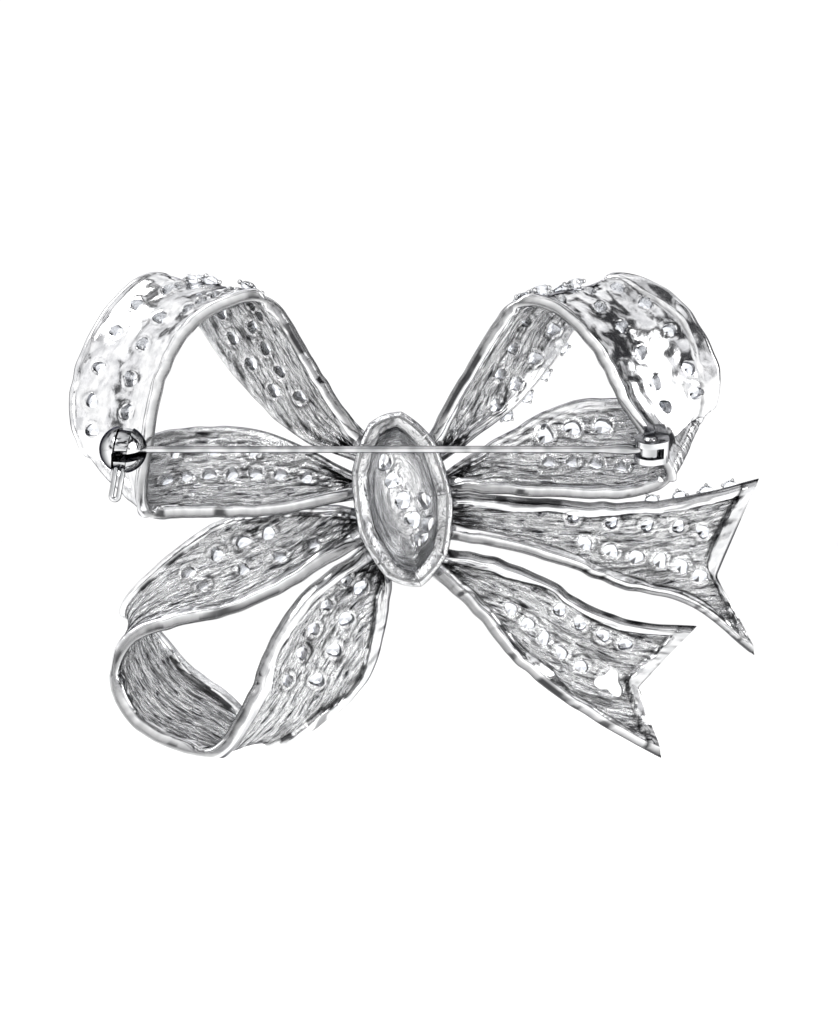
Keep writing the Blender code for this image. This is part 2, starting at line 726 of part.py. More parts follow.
main()
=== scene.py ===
import math
import bmesh
import bpy
import numpy as np
from mathutils import Matrix, Vector


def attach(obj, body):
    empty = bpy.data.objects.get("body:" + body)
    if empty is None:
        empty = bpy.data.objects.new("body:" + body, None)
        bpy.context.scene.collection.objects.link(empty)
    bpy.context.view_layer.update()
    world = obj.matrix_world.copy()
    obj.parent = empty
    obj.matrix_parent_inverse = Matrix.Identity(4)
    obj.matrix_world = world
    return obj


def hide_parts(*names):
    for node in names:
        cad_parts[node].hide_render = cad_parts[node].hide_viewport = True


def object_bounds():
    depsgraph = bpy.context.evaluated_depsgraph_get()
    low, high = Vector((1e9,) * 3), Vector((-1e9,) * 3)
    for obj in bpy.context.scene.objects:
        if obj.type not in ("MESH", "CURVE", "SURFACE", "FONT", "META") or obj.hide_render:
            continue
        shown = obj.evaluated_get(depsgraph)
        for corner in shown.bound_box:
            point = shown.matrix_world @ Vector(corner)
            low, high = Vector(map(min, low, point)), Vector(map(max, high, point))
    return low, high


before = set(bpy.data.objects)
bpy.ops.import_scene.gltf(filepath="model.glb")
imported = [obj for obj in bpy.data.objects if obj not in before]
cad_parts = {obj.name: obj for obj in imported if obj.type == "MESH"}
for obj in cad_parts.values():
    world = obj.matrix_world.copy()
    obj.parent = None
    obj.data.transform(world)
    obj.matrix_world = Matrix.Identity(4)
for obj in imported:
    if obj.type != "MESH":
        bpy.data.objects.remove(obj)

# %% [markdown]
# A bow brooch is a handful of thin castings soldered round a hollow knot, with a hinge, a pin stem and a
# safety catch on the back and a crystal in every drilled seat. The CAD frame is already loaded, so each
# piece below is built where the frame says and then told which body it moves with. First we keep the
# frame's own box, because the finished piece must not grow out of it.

MM = 0.001
cad_box = [list(corner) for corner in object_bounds()]


def box_in_mm(box):
    return [[round(value / MM, 1) for value in corner] for corner in box]


print("frame box in mm:", box_in_mm(cad_box))


# %% [markdown]
# The brooch is shown from its pin side. We stand the camera on the +Y side, level with the bow and a
# little over 200 mm away, with a lens long enough to keep the bow's far parts from shrinking, and turn
# it to look along -Y.

# %% Camera
CAMERA_PLACE = Vector((-3.65, 216.0, -6.15)) * MM
LENS_MM = 77.34
camera_data = bpy.data.cameras.new("camera")
camera_data.lens = LENS_MM
camera_data.sensor_width = 36.0
camera_data.clip_start = 0.01
camera_data.clip_end = 50.0
camera = bpy.data.objects.new("camera", camera_data)
camera.location = CAMERA_PLACE
camera.rotation_euler = (math.radians(90.0), 0.0, math.radians(180.0))
bpy.context.scene.collection.objects.link(camera)
bpy.context.scene.camera = camera
print("camera stands", round(CAMERA_PLACE.y / MM), "mm behind the pin")


# %% [markdown]
# Every finish in this scene is a small tree of nodes, and four kinds of node come back again and again: a
# colour ramp, a sum, a mix and a stretch of values onto a range. Each gets a helper here. A helper takes
# plain numbers as well as the outputs of other nodes, which keeps the finishes short to read.

# %% Helpers for node trees
def node(tree, kind, **values):
    made = tree.nodes.new(kind)
    for name, value in values.items():
        if name in made.inputs:
            made.inputs[name].default_value = value
        else:
            setattr(made, name, value)
    return made


def feed(tree, socket, value):
    if isinstance(value, bpy.types.NodeSocket):
        tree.links.new(value, socket)
    else:
        socket.default_value = value


def colour_ramp(tree, value, stops, interpolation="LINEAR"):
    ramp = tree.nodes.new("ShaderNodeValToRGB")
    ramp.color_ramp.interpolation = interpolation
    points = ramp.color_ramp.elements
    first, *between, last = stops
    for point, (position, colour) in zip(points, (first, last)):
        point.position = position
        point.color = (*colour, 1.0)
    for position, colour in between:
        points.new(position).color = (*colour, 1.0)
    tree.links.new(value, ramp.inputs["Fac"])
    return ramp.outputs["Color"]


def calculate(tree, operation, *values):
    made = node(tree, "ShaderNodeMath", operation=operation)
    for socket, value in zip(made.inputs, values):
        feed(tree, socket, value)
    return made.outputs[0]


def mixed(tree, blend, factor, first, second):
    both = node(tree, "ShaderNodeMix", data_type="RGBA", blend_type=blend)
    for name, value in (("Factor", factor), ("A", first), ("B", second)):
        feed(tree, both.inputs[name], value)
    return both.outputs["Result"]


def stretched(tree, value, low, high):
    made = tree.nodes.new("ShaderNodeMapRange")
    made.inputs["To Min"].default_value = low
    made.inputs["To Max"].default_value = high
    tree.links.new(value, made.inputs["Value"])
    return made.outputs["Result"]


print("node helpers ready")


# %% [markdown]
# Polished metal shows nothing but the room round it. Jewellery is lit in a white tent with a ring of dark
# card round the lens, which draws the dark accents that make silver look like silver. The tent is the
# world: it is plain white to the camera and to matt things. In mirror reflections it carries the cards,
# broken up by noise so that no two accents are alike. Along Y the ring ramp says how dark each band of
# the room is, and the +X side of the room leans a little brighter.

# %% White tent
WHITE_LEVEL = 1.08
MIRROR_LEVEL = 1.15
RING_STRENGTH = 0.115
RING_LEVELS = ((0.0, 0.55), (0.25, 0.75), (0.5, 1.0), (0.8, 0.85), (0.93, 0.25), (1.0, 0.12))
CARD_NOISE = 3.4
DIM_SIDE_LIMIT = -0.14
SIDE_LEAN = 0.19
CARD_LIFT = 0.02
CARD_TONES = (
    (0.35, (0.01, 0.01, 0.013)), (0.38, (0.05, 0.05, 0.051)), (0.40, (0.36, 0.36, 0.3672)),
    (0.44, (0.64, 0.64, 0.6528)), (0.51, (0.84, 0.84, 0.8568)), (0.62, (1.0, 1.0, 1.0)),
)


def background(tree, colour, strength):
    made = tree.nodes.new("ShaderNodeBackground")
    feed(tree, made.inputs["Color"], colour)
    made.inputs["Strength"].default_value = strength
    return made.outputs["Background"]


def make_tent():
    world = bpy.data.worlds.new("white_tent")
    world.use_nodes = True
    tree = world.node_tree
    tree.nodes.clear()
    direction = tree.nodes.new("ShaderNodeTexCoord").outputs["Generated"]
    split = tree.nodes.new("ShaderNodeSeparateXYZ")
    tree.links.new(direction, split.inputs["Vector"])
    either_side = calculate(tree, "ABSOLUTE", split.outputs["Y"])
    ring_stops = [(place, (level, level, level)) for place, level in RING_LEVELS]
    ring = colour_ramp(tree, either_side, ring_stops, "EASE")
    wave = node(tree, "ShaderNodeTexNoise", Scale=CARD_NOISE, Detail=1.0)
    tree.links.new(direction, wave.inputs["Vector"])
    ringed = calculate(tree, "MULTIPLY_ADD", ring, -RING_STRENGTH, wave.outputs["Fac"])
    side = calculate(tree, "MAXIMUM", split.outputs["X"], DIM_SIDE_LIMIT)
    leaning = calculate(tree, "MULTIPLY_ADD", side, SIDE_LEAN, ringed)
    lifted = calculate(tree, "ADD", leaning, CARD_LIFT)
    cards = colour_ramp(tree, lifted, CARD_TONES)
    choose = tree.nodes.new("ShaderNodeMixShader")
    ray = tree.nodes.new("ShaderNodeLightPath")
    tree.links.new(ray.outputs["Is Glossy Ray"], choose.inputs["Fac"])
    tree.links.new(background(tree, (1.0, 1.0, 1.0, 1.0), WHITE_LEVEL), choose.inputs[1])
    tree.links.new(background(tree, cards, MIRROR_LEVEL), choose.inputs[2])
    out = tree.nodes.new("ShaderNodeOutputWorld")
    tree.links.new(choose.outputs["Shader"], out.inputs["Surface"])
    bpy.context.scene.world = world
    bpy.context.scene.view_settings.view_transform = "Standard"


make_tent()
print("tent ready, with", len(CARD_TONES), "card tones")


# %% [markdown]
# A pale floor lies under the brooch. It is a wide matt sheet well below the lowest ribbon, so its far edge
# melts into the tent.

# %% Floor
FLOOR_DROP = 30.0 * MM
FLOOR_HALF_SIZE = 4.0


def make_floor():
    shape = bmesh.new()
    bmesh.ops.create_grid(shape, x_segments=8, y_segments=8, size=FLOOR_HALF_SIZE)
    mesh = bpy.data.meshes.new("floor")
    shape.to_mesh(mesh)
    shape.free()
    floor = bpy.data.objects.new("floor", mesh)
    floor.location = (0.0, 0.0, cad_box[0][2] - FLOOR_DROP)
    bpy.context.scene.collection.objects.link(floor)
    material = bpy.data.materials.new("pale_paper")
    material.use_nodes = True
    tree = material.node_tree
    shader = tree.nodes["Principled BSDF"]
    shader.inputs["Roughness"].default_value = 0.9
    fibre = node(tree, "ShaderNodeTexNoise", Scale=900.0)
    paper = colour_ramp(tree, fibre.outputs["Fac"], ((0.0, (0.95, 0.95, 0.95)), (1.0, (0.99, 0.99, 0.99))))
    tree.links.new(paper, shader.inputs["Base Color"])
    mesh.materials.append(material)


make_floor()
print("floor lies", round(FLOOR_DROP / MM), "mm under the brooch")


# %% [markdown]
# Three wide discs of light stand round the brooch. They add the soft sparkle on edges that the even tent
# alone would leave out. Each one is turned to face the middle of the pin.

# %% Soft lights
def soft_light(name, place, size, power):
    data = bpy.data.lights.new(name, "AREA")
    data.shape = "DISK"
    data.size = size
    data.energy = power
    light = bpy.data.objects.new(name, data)
    light.location = place
    light.rotation_mode = "QUATERNION"
    light.rotation_quaternion = (-Vector(place)).to_track_quat("-Z", "Y")
    bpy.context.scene.collection.objects.link(light)


soft_light("key", (0.25, 0.30, 0.35), 0.25, 1.0)
soft_light("fill", (-0.35, 0.25, 0.10), 0.30, 0.6)
soft_light("front_fill", (0.1, -0.45, 0.30), 0.40, 0.8)
print("three soft lights")


# %% [markdown]
# Metal seen edge-on mirrors the dark parts of a room, which gives silver its drawn outline. A Layer Weight
# node knows how far a face turns away, so a ramp on it paints that dark outline into the colour there: a
# painted reflection. The tint at grazing angles is kept low too, or every edge would flare white.

# %% Dark outlines
GRAZING_TINT = (0.35, 0.35, 0.37, 1.0)


def dark_at_edges(tree, colour, start, end, depth):
    """Multiply a colour by a ramp that paints shade onto faces seen edge-on: a painted reflection."""
    turned_away = node(tree, "ShaderNodeLayerWeight", Blend=0.5)
    stops = ((start, (1.0, 1.0, 1.0)), (end, (depth, depth, depth * 1.05)))
    ramp = colour_ramp(tree, turned_away.outputs["Facing"], stops, "EASE")
    return mixed(tree, "MULTIPLY", 1.0, colour, ramp)


def start_metal(name):
    material = bpy.data.materials.new(name)
    material.use_nodes = True
    tree = material.node_tree
    shader = tree.nodes["Principled BSDF"]
    shader.inputs["Metallic"].default_value = 1.0
    shader.inputs["Specular Tint"].default_value = GRAZING_TINT
    return material, tree, shader


def press_in(tree, shader, height, strength, depth_mm):
    bump = node(tree, "ShaderNodeBump", Strength=strength)
    bump.inputs["Distance"].default_value = depth_mm * MM
    tree.links.new(height, bump.inputs["Height"])
    tree.links.new(bump.outputs["Normal"], shader.inputs["Normal"])


print("metal tools ready")


# %% [markdown]
# The castings are alloy with a silver-white plating. The rims are polished, but the hollow backs keep the
# long grain that the wax model was brushed with. Both are one material: each casting carries a value
# called polish at every point, and the grain fades out as polish rises. The grain's colour also has
# painted shade in its grooves, and a second value paints shade into the creases, rim feet, edges and
# gathers. The grain follows the ribbon because it is drawn in the ribbon's own coordinates, one unit per
# millimetre.

# %% Plated casting
GRAIN_DEPTH = 0.45
PIT_SHARE = 0.07
SCRATCH_RINGS = 9.0
SCRATCH_TONES = ((0.04, (0.02, 0.02, 0.025)), (0.13, (1.0, 1.0, 1.0)))
# Painted shade: the low strokes of the grain get near-black colour, the shade of its grooves.
GROOVE_SHADE_TONES = ((0.34, (0.04, 0.04, 0.045)), (0.42, (0.61, 0.615, 0.63)), (0.51, (0.95, 0.955, 0.96)))
CLEAN_TONES = ((0.35, (0.74, 0.745, 0.755)), (0.62, (0.97, 0.97, 0.975)))
# Colour of the painted shade laid into creases, rim feet, edges and gathers.
PAINTED_SHADE_COLOUR = (0.02, 0.02, 0.022, 1.0)


def grain_noise(tree, along_scale, across_scale, **values):
    lay = node(tree, "ShaderNodeUVMap", uv_map="grain")
    stretch = node(tree, "ShaderNodeMapping", Scale=(along_scale, across_scale, 1.0))
    tree.links.new(lay.outputs["UV"], stretch.inputs["Vector"])
    noise = node(tree, "ShaderNodeTexNoise", Scale=1.0, **values)
    tree.links.new(stretch.outputs["Vector"], noise.inputs["Vector"])
    return noise.outputs["Fac"]


def plated_casting(name):
    material, tree, shader = start_metal(name)
    polish = node(tree, "ShaderNodeAttribute", attribute_name="polish").outputs["Fac"]
    painted_shade = node(tree, "ShaderNodeAttribute", attribute_name="painted_shade").outputs["Fac"]
    grained = calculate(tree, "SUBTRACT", 1.0, polish)
    strokes = grain_noise(tree, 0.50, 2.6, Detail=6.0, Roughness=0.60, Distortion=0.6)
    fine = grain_noise(tree, 0.9, 3.0, Detail=3.0, Roughness=0.5, Distortion=1.2)
    pits = grain_noise(tree, 0.8, 1.0, Detail=3.0)

    rings = calculate(tree, "MULTIPLY", fine, SCRATCH_RINGS)
    scratch = colour_ramp(tree, calculate(tree, "PINGPONG", rings, 0.5), SCRATCH_TONES)
    # Painted shade in the grain's grooves, multiplied with the scratch lines of the grain.
    groove_shade = colour_ramp(tree, strokes, GROOVE_SHADE_TONES)
    brushed_and_groove_shade = mixed(tree, "MULTIPLY", 1.0, groove_shade, scratch)
    clean = colour_ramp(tree, pits, CLEAN_TONES)
    colour = mixed(tree, "MIX", grained, clean, brushed_and_groove_shade)
    # Painted shade: the shade value darkens the colour towards near black in creases, rim feet, edges and
    # gathers.
    darkened = mixed(tree, "MULTIPLY", painted_shade, colour, PAINTED_SHADE_COLOUR)
    # Painted reflection: faces of the casting seen edge-on are darkened.
    tree.links.new(dark_at_edges(tree, darkened, 0.55, 0.85, 0.12), shader.inputs["Base Color"])
    tree.links.new(stretched(tree, grained, 0.13, 0.18), shader.inputs["Roughness"])
    pit_relief = calculate(tree, "MULTIPLY", pits, PIT_SHARE)
    press_in(tree, shader, calculate(tree, "MULTIPLY_ADD", strokes, grained, pit_relief), 1.0, GRAIN_DEPTH)
    return material


CASTING = plated_casting("plated_casting")
print("casting finish:", CASTING.name)


# %% [markdown]
# The findings, which are the hinge, the pin and the catch, are bought ready polished. Their plating is
# almost a mirror, with only faint drawing marks from the tool and slow clouds of tone.

# %% Polished findings
CLOUD_SCALE = 520.0
MARK_DEPTH = 0.02


def place_noise(tree, **values):
    place = tree.nodes.new("ShaderNodeTexCoord")
    noise = node(tree, "ShaderNodeTexNoise", **values)
    tree.links.new(place.outputs["Object"], noise.inputs["Vector"])
    return noise.outputs["Fac"]


def polished_metal(name, shade, low_gloss, high_gloss, mark_scale, dark_start, dark_end):
    material, tree, shader = start_metal(name)
    marks = place_noise(tree, Scale=mark_scale, Detail=4.0)
    cloud = place_noise(tree, Scale=CLOUD_SCALE, Detail=1.0)
    dim = (shade * 0.55, shade * 0.56, shade * 0.57)
    tone = colour_ramp(tree, cloud, ((0.36, dim), (0.60, (shade, shade, shade * 1.01))))
    # Painted reflection: faces of the finding seen edge-on are darkened.
    tree.links.new(dark_at_edges(tree, tone, dark_start, dark_end, 0.06), shader.inputs["Base Color"])
    tree.links.new(stretched(tree, marks, low_gloss, high_gloss), shader.inputs["Roughness"])
    press_in(tree, shader, marks, 0.25, MARK_DEPTH)
    return material


FINDING = polished_metal("polished_finding", 0.84, 0.04, 0.12, 900.0, 0.22, 0.72)
HINGE = polished_metal("polished_hinge", 0.88, 0.08, 0.20, 900.0, 0.58, 0.90)
WIRE = polished_metal("drawn_wire", 0.66, 0.10, 0.20, 1500.0, 0.22, 0.72)
print("finishes for the findings:", FINDING.name, HINGE.name, WIRE.name)


# %% [markdown]
# The stones are round crystals with no foil, so light comes through their seats. Glass needs only a slight
# tint to show its edges, with painted shade on facets seen edge-on; the tint wanders a little from stone
# to stone.

# %% Crystal
CRYSTAL_IOR = 1.30
CRYSTAL_TONES = ((0.0, (0.86, 0.89, 0.94)), (1.0, (0.97, 0.98, 1.0)))


def crystal_glass():
    material = bpy.data.materials.new("clear_crystal")
    material.use_nodes = True
    tree = material.node_tree
    shader = tree.nodes["Principled BSDF"]
    shader.inputs["Transmission Weight"].default_value = 1.0
    shader.inputs["IOR"].default_value = CRYSTAL_IOR
    drift = place_noise(tree, Scale=260.0)
    tint = colour_ramp(tree, drift, CRYSTAL_TONES)
    # Painted shade: facets seen edge-on are darkened.
    tree.links.new(dark_at_edges(tree, tint, 0.30, 0.75, 0.30), shader.inputs["Base Color"])
    tree.links.new(stretched(tree, drift, 0.0, 0.03), shader.inputs["Roughness"])
    return material


CRYSTAL = crystal_glass()
print("stone finish:", CRYSTAL.name)


# %% [markdown]
# Each ribbon is a band between two edges. The designer gives a few stations, each a pair of points: the
# edge nearest the wearer and the edge towards the front, in millimetres. They are the frame's stations, so
# the fine casting lies where the plain one does. Only the top fold of the catch-side loop, the fifth to
# seventh stations, has its front edge drawn a little higher.

# %% Ribbon stations
UPPER_CATCH_SIDE = [
    ((0.6, -5.0, -0.5), (2.0, -6.0, -1.3)),
    ((4.2, -3.4, 4.4), (8.4, -7.4, 1.3)),
    ((7.6, -2.8, 10.0), (14.9, -8.8, 7.3)),
    ((10.2, -2.3, 14.0), (19.1, -9.4, 13.3)),
    ((12.3, -2.0, 15.0), (21.0, -9.5, 17.0)),
    ((15.9, -1.9, 14.0), (24.4, -8.8, 18.0)),
    ((19.3, -2.1, 11.5), (28.7, -7.6, 13.8)),
    ((21.8, -2.6, 6.5), (31.6, -6.8, 6.7)),
    ((23.0, -3.1, 0.3), (31.3, -6.6, 1.6)),
    ((23.2, -3.3, -6.1), (29.7, -8.2, -0.2)),
    ((17.7, -3.5, -6.5), (21.7, -8.4, 2.2)),
    ((9.7, -3.7, -6.2), (12.5, -8.0, 2.2)),
    ((0.6, -5.0, -4.0), (2.0, -6.2, -2.6)),
]
UPPER_HINGE_SIDE = [
    ((-4.2, -4.8, -0.6), (-5.6, -6.0, -1.4)),
    ((-5.5, -3.6, 2.6), (-10.2, -7.0, 2.0)),
    ((-7.5, -3.0, 6.4), (-14.0, -8.4, 5.1)),
    ((-10.1, -2.6, 10.7), (-17.3, -9.2, 9.2)),
    ((-12.9, -2.1, 14.3), (-20.6, -9.8, 14.2)),
    ((-16.4, -1.8, 14.1), (-24.0, -9.4, 17.9)),
    ((-20.8, -2.1, 10.1), (-29.8, -8.0, 15.8)),
    ((-23.8, -2.8, 4.6), (-34.1, -6.9, 8.4)),
    ((-27.2, -3.2, -0.5), (-33.8, -7.6, 5.3)),
    ((-28.4, -3.3, -2.8), (-32.1, -8.6, 4.6)),
    ((-25.7, -3.4, -4.4), (-26.2, -8.6, 5.3)),
    ((-18.7, -3.6, -4.6), (-19.0, -8.2, 5.1)),
    ((-11.7, -3.9, -4.2), (-12.7, -7.4, 2.0)),
    ((-4.2, -5.0, -3.4), (-5.6, -6.2, -2.5)),
]
LOWER_CATCH_SIDE = [
    ((0.6, -4.9, -8.0), (0.6, -6.2, -6.3)),
    ((5.4, -3.6, -11.1), (5.4, -6.8, -5.4)),
    ((9.8, -3.0, -13.9), (10.5, -7.4, -5.6)),
    ((14.9, -2.6, -16.2), (15.8, -7.8, -6.6)),
    ((20.9, -2.3, -17.5), (21.6, -8.6, -10.6)),
    ((24.8, -2.0, -18.9), (26.2, -9.8, -16.4)),
    ((26.7, -1.9, -22.8), (23.4, -10.5, -18.5)),
    ((25.2, -1.9, -26.6), (19.9, -10.6, -22.2)),
    ((20.8, -2.0, -29.4), (15.2, -10.2, -25.7)),
    ((16.9, -2.0, -29.8), (12.4, -9.4, -29.2)),
    ((13.5, -2.3, -25.0), (7.5, -8.4, -28.3)),
    ((11.0, -2.8, -18.9), (1.7, -7.4, -23.4)),
    ((7.6, -3.3, -14.1), (-0.4, -7.0, -16.9)),
    ((0.6, -5.0, -9.2), (-1.2, -6.2, -10.4)),
]
UPPER_TAIL = [
    ((-4.8, -6.2, -4.2), (-4.8, -5.8, -8.4)),
    ((-11.8, -5.6, -4.5), (-12.0, -5.4, -9.8)),
    ((-17.8, -5.4, -5.0), (-17.4, -5.4, -11.2)),
    ((-25.8, -5.2, -5.2), (-24.1, -5.6, -13.8)),
    ((-32.2, -4.9, -4.2), (-30.9, -5.6, -15.6)),
    ((-37.7, -4.6, -2.8), (-37.3, -5.0, -20.5)),
]
LOWER_TAIL = [
    ((-4.8, -5.8, -9.6), (-4.2, -5.6, -11.6)),
    ((-11.4, -5.4, -10.8), (-9.2, -4.6, -16.2)),
    ((-16.6, -5.4, -12.9), (-12.6, -4.3, -20.4)),
    ((-20.9, -5.4, -15.6), (-16.6, -4.3, -23.9)),
    ((-25.9, -5.2, -17.2), (-21.8, -4.4, -27.4)),
    ((-31.5, -4.9, -17.6), (-27.9, -4.6, -30.8)),
]
print("stations per ribbon:", [len(s) for s in (UPPER_CATCH_SIDE, UPPER_HINGE_SIDE, LOWER_CATCH_SIDE)])


# %% [markdown]
# A Catmull-Rom curve passes through every station and never needs handles. We work it out for thousands
# of positions at once with numpy, because the fine castings have many points.

# %% Smooth curve through the stations
def spline(points, positions):
    points = np.asarray(points, float)
    positions = np.asarray(positions, float)
    last = len(points) - 1
    ends = np.vstack([2 * points[0] - points[1], points, 2 * points[-1] - points[-2]])
    index = np.clip(positions.astype(int), 0, last - 1)
    four = [ends[index + step] for step in range(4)]
    knots = [np.zeros(positions.shape)]
    for first, second in zip(four, four[1:]):
        gap = np.maximum(np.linalg.norm(second - first, axis=-1), 1e-6)
        knots.append(knots[-1] + np.sqrt(gap))
    moment = knots[1] + (knots[2] - knots[1]) * (positions - index)

    def mix(first, second, start, end):
        share = ((moment - start) / (end - start))[..., None]
        return first * (1 - share) + second * share

    one = [mix(four[i], four[i + 1], knots[i], knots[i + 1]) for i in range(3)]
    two = [mix(one[i], one[i + 1], knots[i], knots[i + 2]) for i in range(2)]
    return mix(two[0], two[1], knots[1], knots[2])


def unit(vectors):
    return vectors / np.maximum(np.linalg.norm(vectors, axis=-1, keepdims=True), 1e-9)


trial = spline([near for near, front in UPPER_TAIL], [0.5])[0]
print("half a station along the upper tail:", trial.round(1))


# %% [markdown]
# Between its edges the ribbon is dished towards the front, and the two tails end in a swallowtail notch.
# This function gives the middle of the metal at any place along and across the ribbon.

# %% The ribbon's middle surface
HOLLOW_DEPTH = 1.3
NOTCH_DEPTH = 4.0
NOTCH_SPAN = 1.5
NOTCH_CURVE = 1.5
TANGENT_STEP = 0.02


def middle_surface(stations, along, across, notched):
    near_points = [near for near, front in stations]
    front_points = [front for near, front in stations]
    last = len(stations) - 1
    near = spline(near_points, along)
    front = spline(front_points, along)
    ahead = np.minimum(along + TANGENT_STEP, last)
    behind = np.maximum(along - TANGENT_STEP, 0.0)
    run = spline(near_points, ahead) + spline(front_points, ahead)
    run -= spline(near_points, behind) + spline(front_points, behind)
    normal = unit(np.cross(run, front - near))
    hollow = HOLLOW_DEPTH * 4.0 * across * (1.0 - across)
    place = near + (front - near) * across[..., None]
    place -= normal * (normal[..., 1] * hollow)[..., None]
    if notched:
        end_share = (np.maximum(along - (last - NOTCH_SPAN), 0.0) / NOTCH_SPAN) ** NOTCH_CURVE
        middle = 1.0 - np.abs(2.0 * across - 1.0)
        back = spline(near_points, [last - 1.0])[0] - spline(near_points, [float(last)])[0]
        place += unit(back) * (NOTCH_DEPTH * middle * end_share)[..., None]
    return place


def grid_normals(points):
    run = np.gradient(points, axis=0)
    width = np.gradient(points, axis=1)
    return unit(np.cross(run, width))


print("ribbons are dished", HOLLOW_DEPTH, "mm and notched", NOTCH_DEPTH, "mm deep")


# %% [markdown]
# Castings are never perfectly even. A little seeded noise, smooth between its lattice points, gives the
# wax-worked waver of the metal, the same on every run.

# %% Repeatable waver
LATTICE = 128


def waver(u, v, seed):
    lattice = np.random.default_rng(seed).uniform(-1.0, 1.0, (LATTICE, LATTICE))
    column = np.floor(u).astype(int)
    line = np.floor(v).astype(int)
    s = u - column
    t = v - line
    s = s * s * (3 - 2 * s)
    t = t * t * (3 - 2 * t)

    def corner(i, j):
        return lattice[(column + i) % LATTICE, (line + j) % LATTICE]

    low = corner(0, 0) * (1 - s) + corner(1, 0) * s
    high = corner(0, 1) * (1 - s) + corner(1, 1) * s
    return low * (1 - t) + high * t


def ease(value, start, end):
    share = np.clip((value - start) / (end - start), 0.0, 1.0)
    return share * share * (3 - 2 * share)


def bump(value, place, width):
    return np.exp(-((value - place) / width) ** 2)


print("waver repeats after", LATTICE, "steps")


# %% [markdown]
# A seat is a hole drilled through the metal for one stone. It knows where it is, which way it faces and
# how round it is, because a drilled and filed hole in soft metal is never a true circle. Its outline is a
# radius that swells and shrinks a little with the angle.

# %% Seat for a stone
class Seat:
    def __init__(self, centre, normal, radius, lobes=0, lobe_depth=0.0, stone=True, size=None):
        self.centre = np.asarray(centre, float)
        self.normal = np.asarray(normal, float)
        self.radius = radius
        self.lobes = lobes
        self.lobe_depth = lobe_depth
        self.stone = stone
        self.size = size or (1.0 if radius > 0.55 else 0.75)
        side = np.cross((0.0, 0.0, 1.0), self.normal)
        self.side = side / max(np.linalg.norm(side), 1e-6)
        self.up = np.cross(self.normal, self.side)

    def offsets(self, points):
        away = points - self.centre
        return away @ self.side, away @ self.up, away @ self.normal

    def outline(self, angle):
        turn = self.centre[0] * 1.7 + self.centre[2]
        wobble = 0.12 * np.sin(2 * angle + turn) + 0.09 * np.sin(3 * angle + 2.0 * turn)
        return self.radius * (1 + wobble + self.lobe_depth * np.cos(self.lobes * angle + turn))


trial = Seat((0.0, 0.0, 0.0), (0.0, -1.0, 0.0), 0.66)
print("a seat's radius at two angles:", [round(float(trial.outline(angle)), 2) for angle in (0.0, 1.0)])


# %% [markdown]
# Every casting is a thin sheet with two sculpted faces and drilled seats, and one tool makes them all. It
# takes the middle of the metal as a grid and how far each face stands off it. The first half drops the
# cells inside each seat and pulls the rim of the hole onto its outline.

# %% Drilling a grid
SEAT_REACH = 1.5
CELL_CORNERS = ((0, 0), (0, 1), (1, 0), (1, 1))


def drill(middle, seats):
    """Return the cells left round the seats; the rims are moved in place."""
    rows, columns = middle.shape[:2]
    kept = np.ones((rows - 1, columns - 1), bool)
    centres = (middle[:-1, :-1] + middle[1:, :-1] + middle[:-1, 1:] + middle[1:, 1:]) / 4
    for seat in seats:
        u, v, depth = seat.offsets(centres)
        inside = np.hypot(u, v) < seat.outline(np.arctan2(v, u))
        inside &= np.abs(depth) < SEAT_REACH
        kept &= ~inside
        touched = np.zeros((rows, columns), bool)
        whole = np.ones((rows, columns), bool)
        for i, j in CELL_CORNERS:
            touched[i:rows - 1 + i, j:columns - 1 + j] |= inside
            whole[i:rows - 1 + i, j:columns - 1 + j] &= inside
        edge = touched & ~whole
        u, v, depth = seat.offsets(middle[edge])
        far = seat.outline(np.arctan2(v, u)) / np.maximum(np.hypot(u, v), 1e-6) - 1.0
        far = np.clip(far, -0.5, 0.5)
        middle[edge] += far[:, None] * (u[:, None] * seat.side + v[:, None] * seat.up)
    return kept


print("drilling tool ready")


# %% [markdown]
# The second half sets the two faces off the middle and joins them along every open edge, so that the
# result is one closed skin. It finds the open edges by looking for edges that no neighbour walks the other
# way. It also writes the grain coordinates, the polish and the painted shade that the finish reads.

# %% Sheet with two faces
FACE_SHIFT = (0.0, 37.0)


def write_value(mesh, name, values):
    attribute = mesh.attributes.new(name, "FLOAT", "POINT")
    attribute.data.foreach_set("value", values.astype(np.float32))


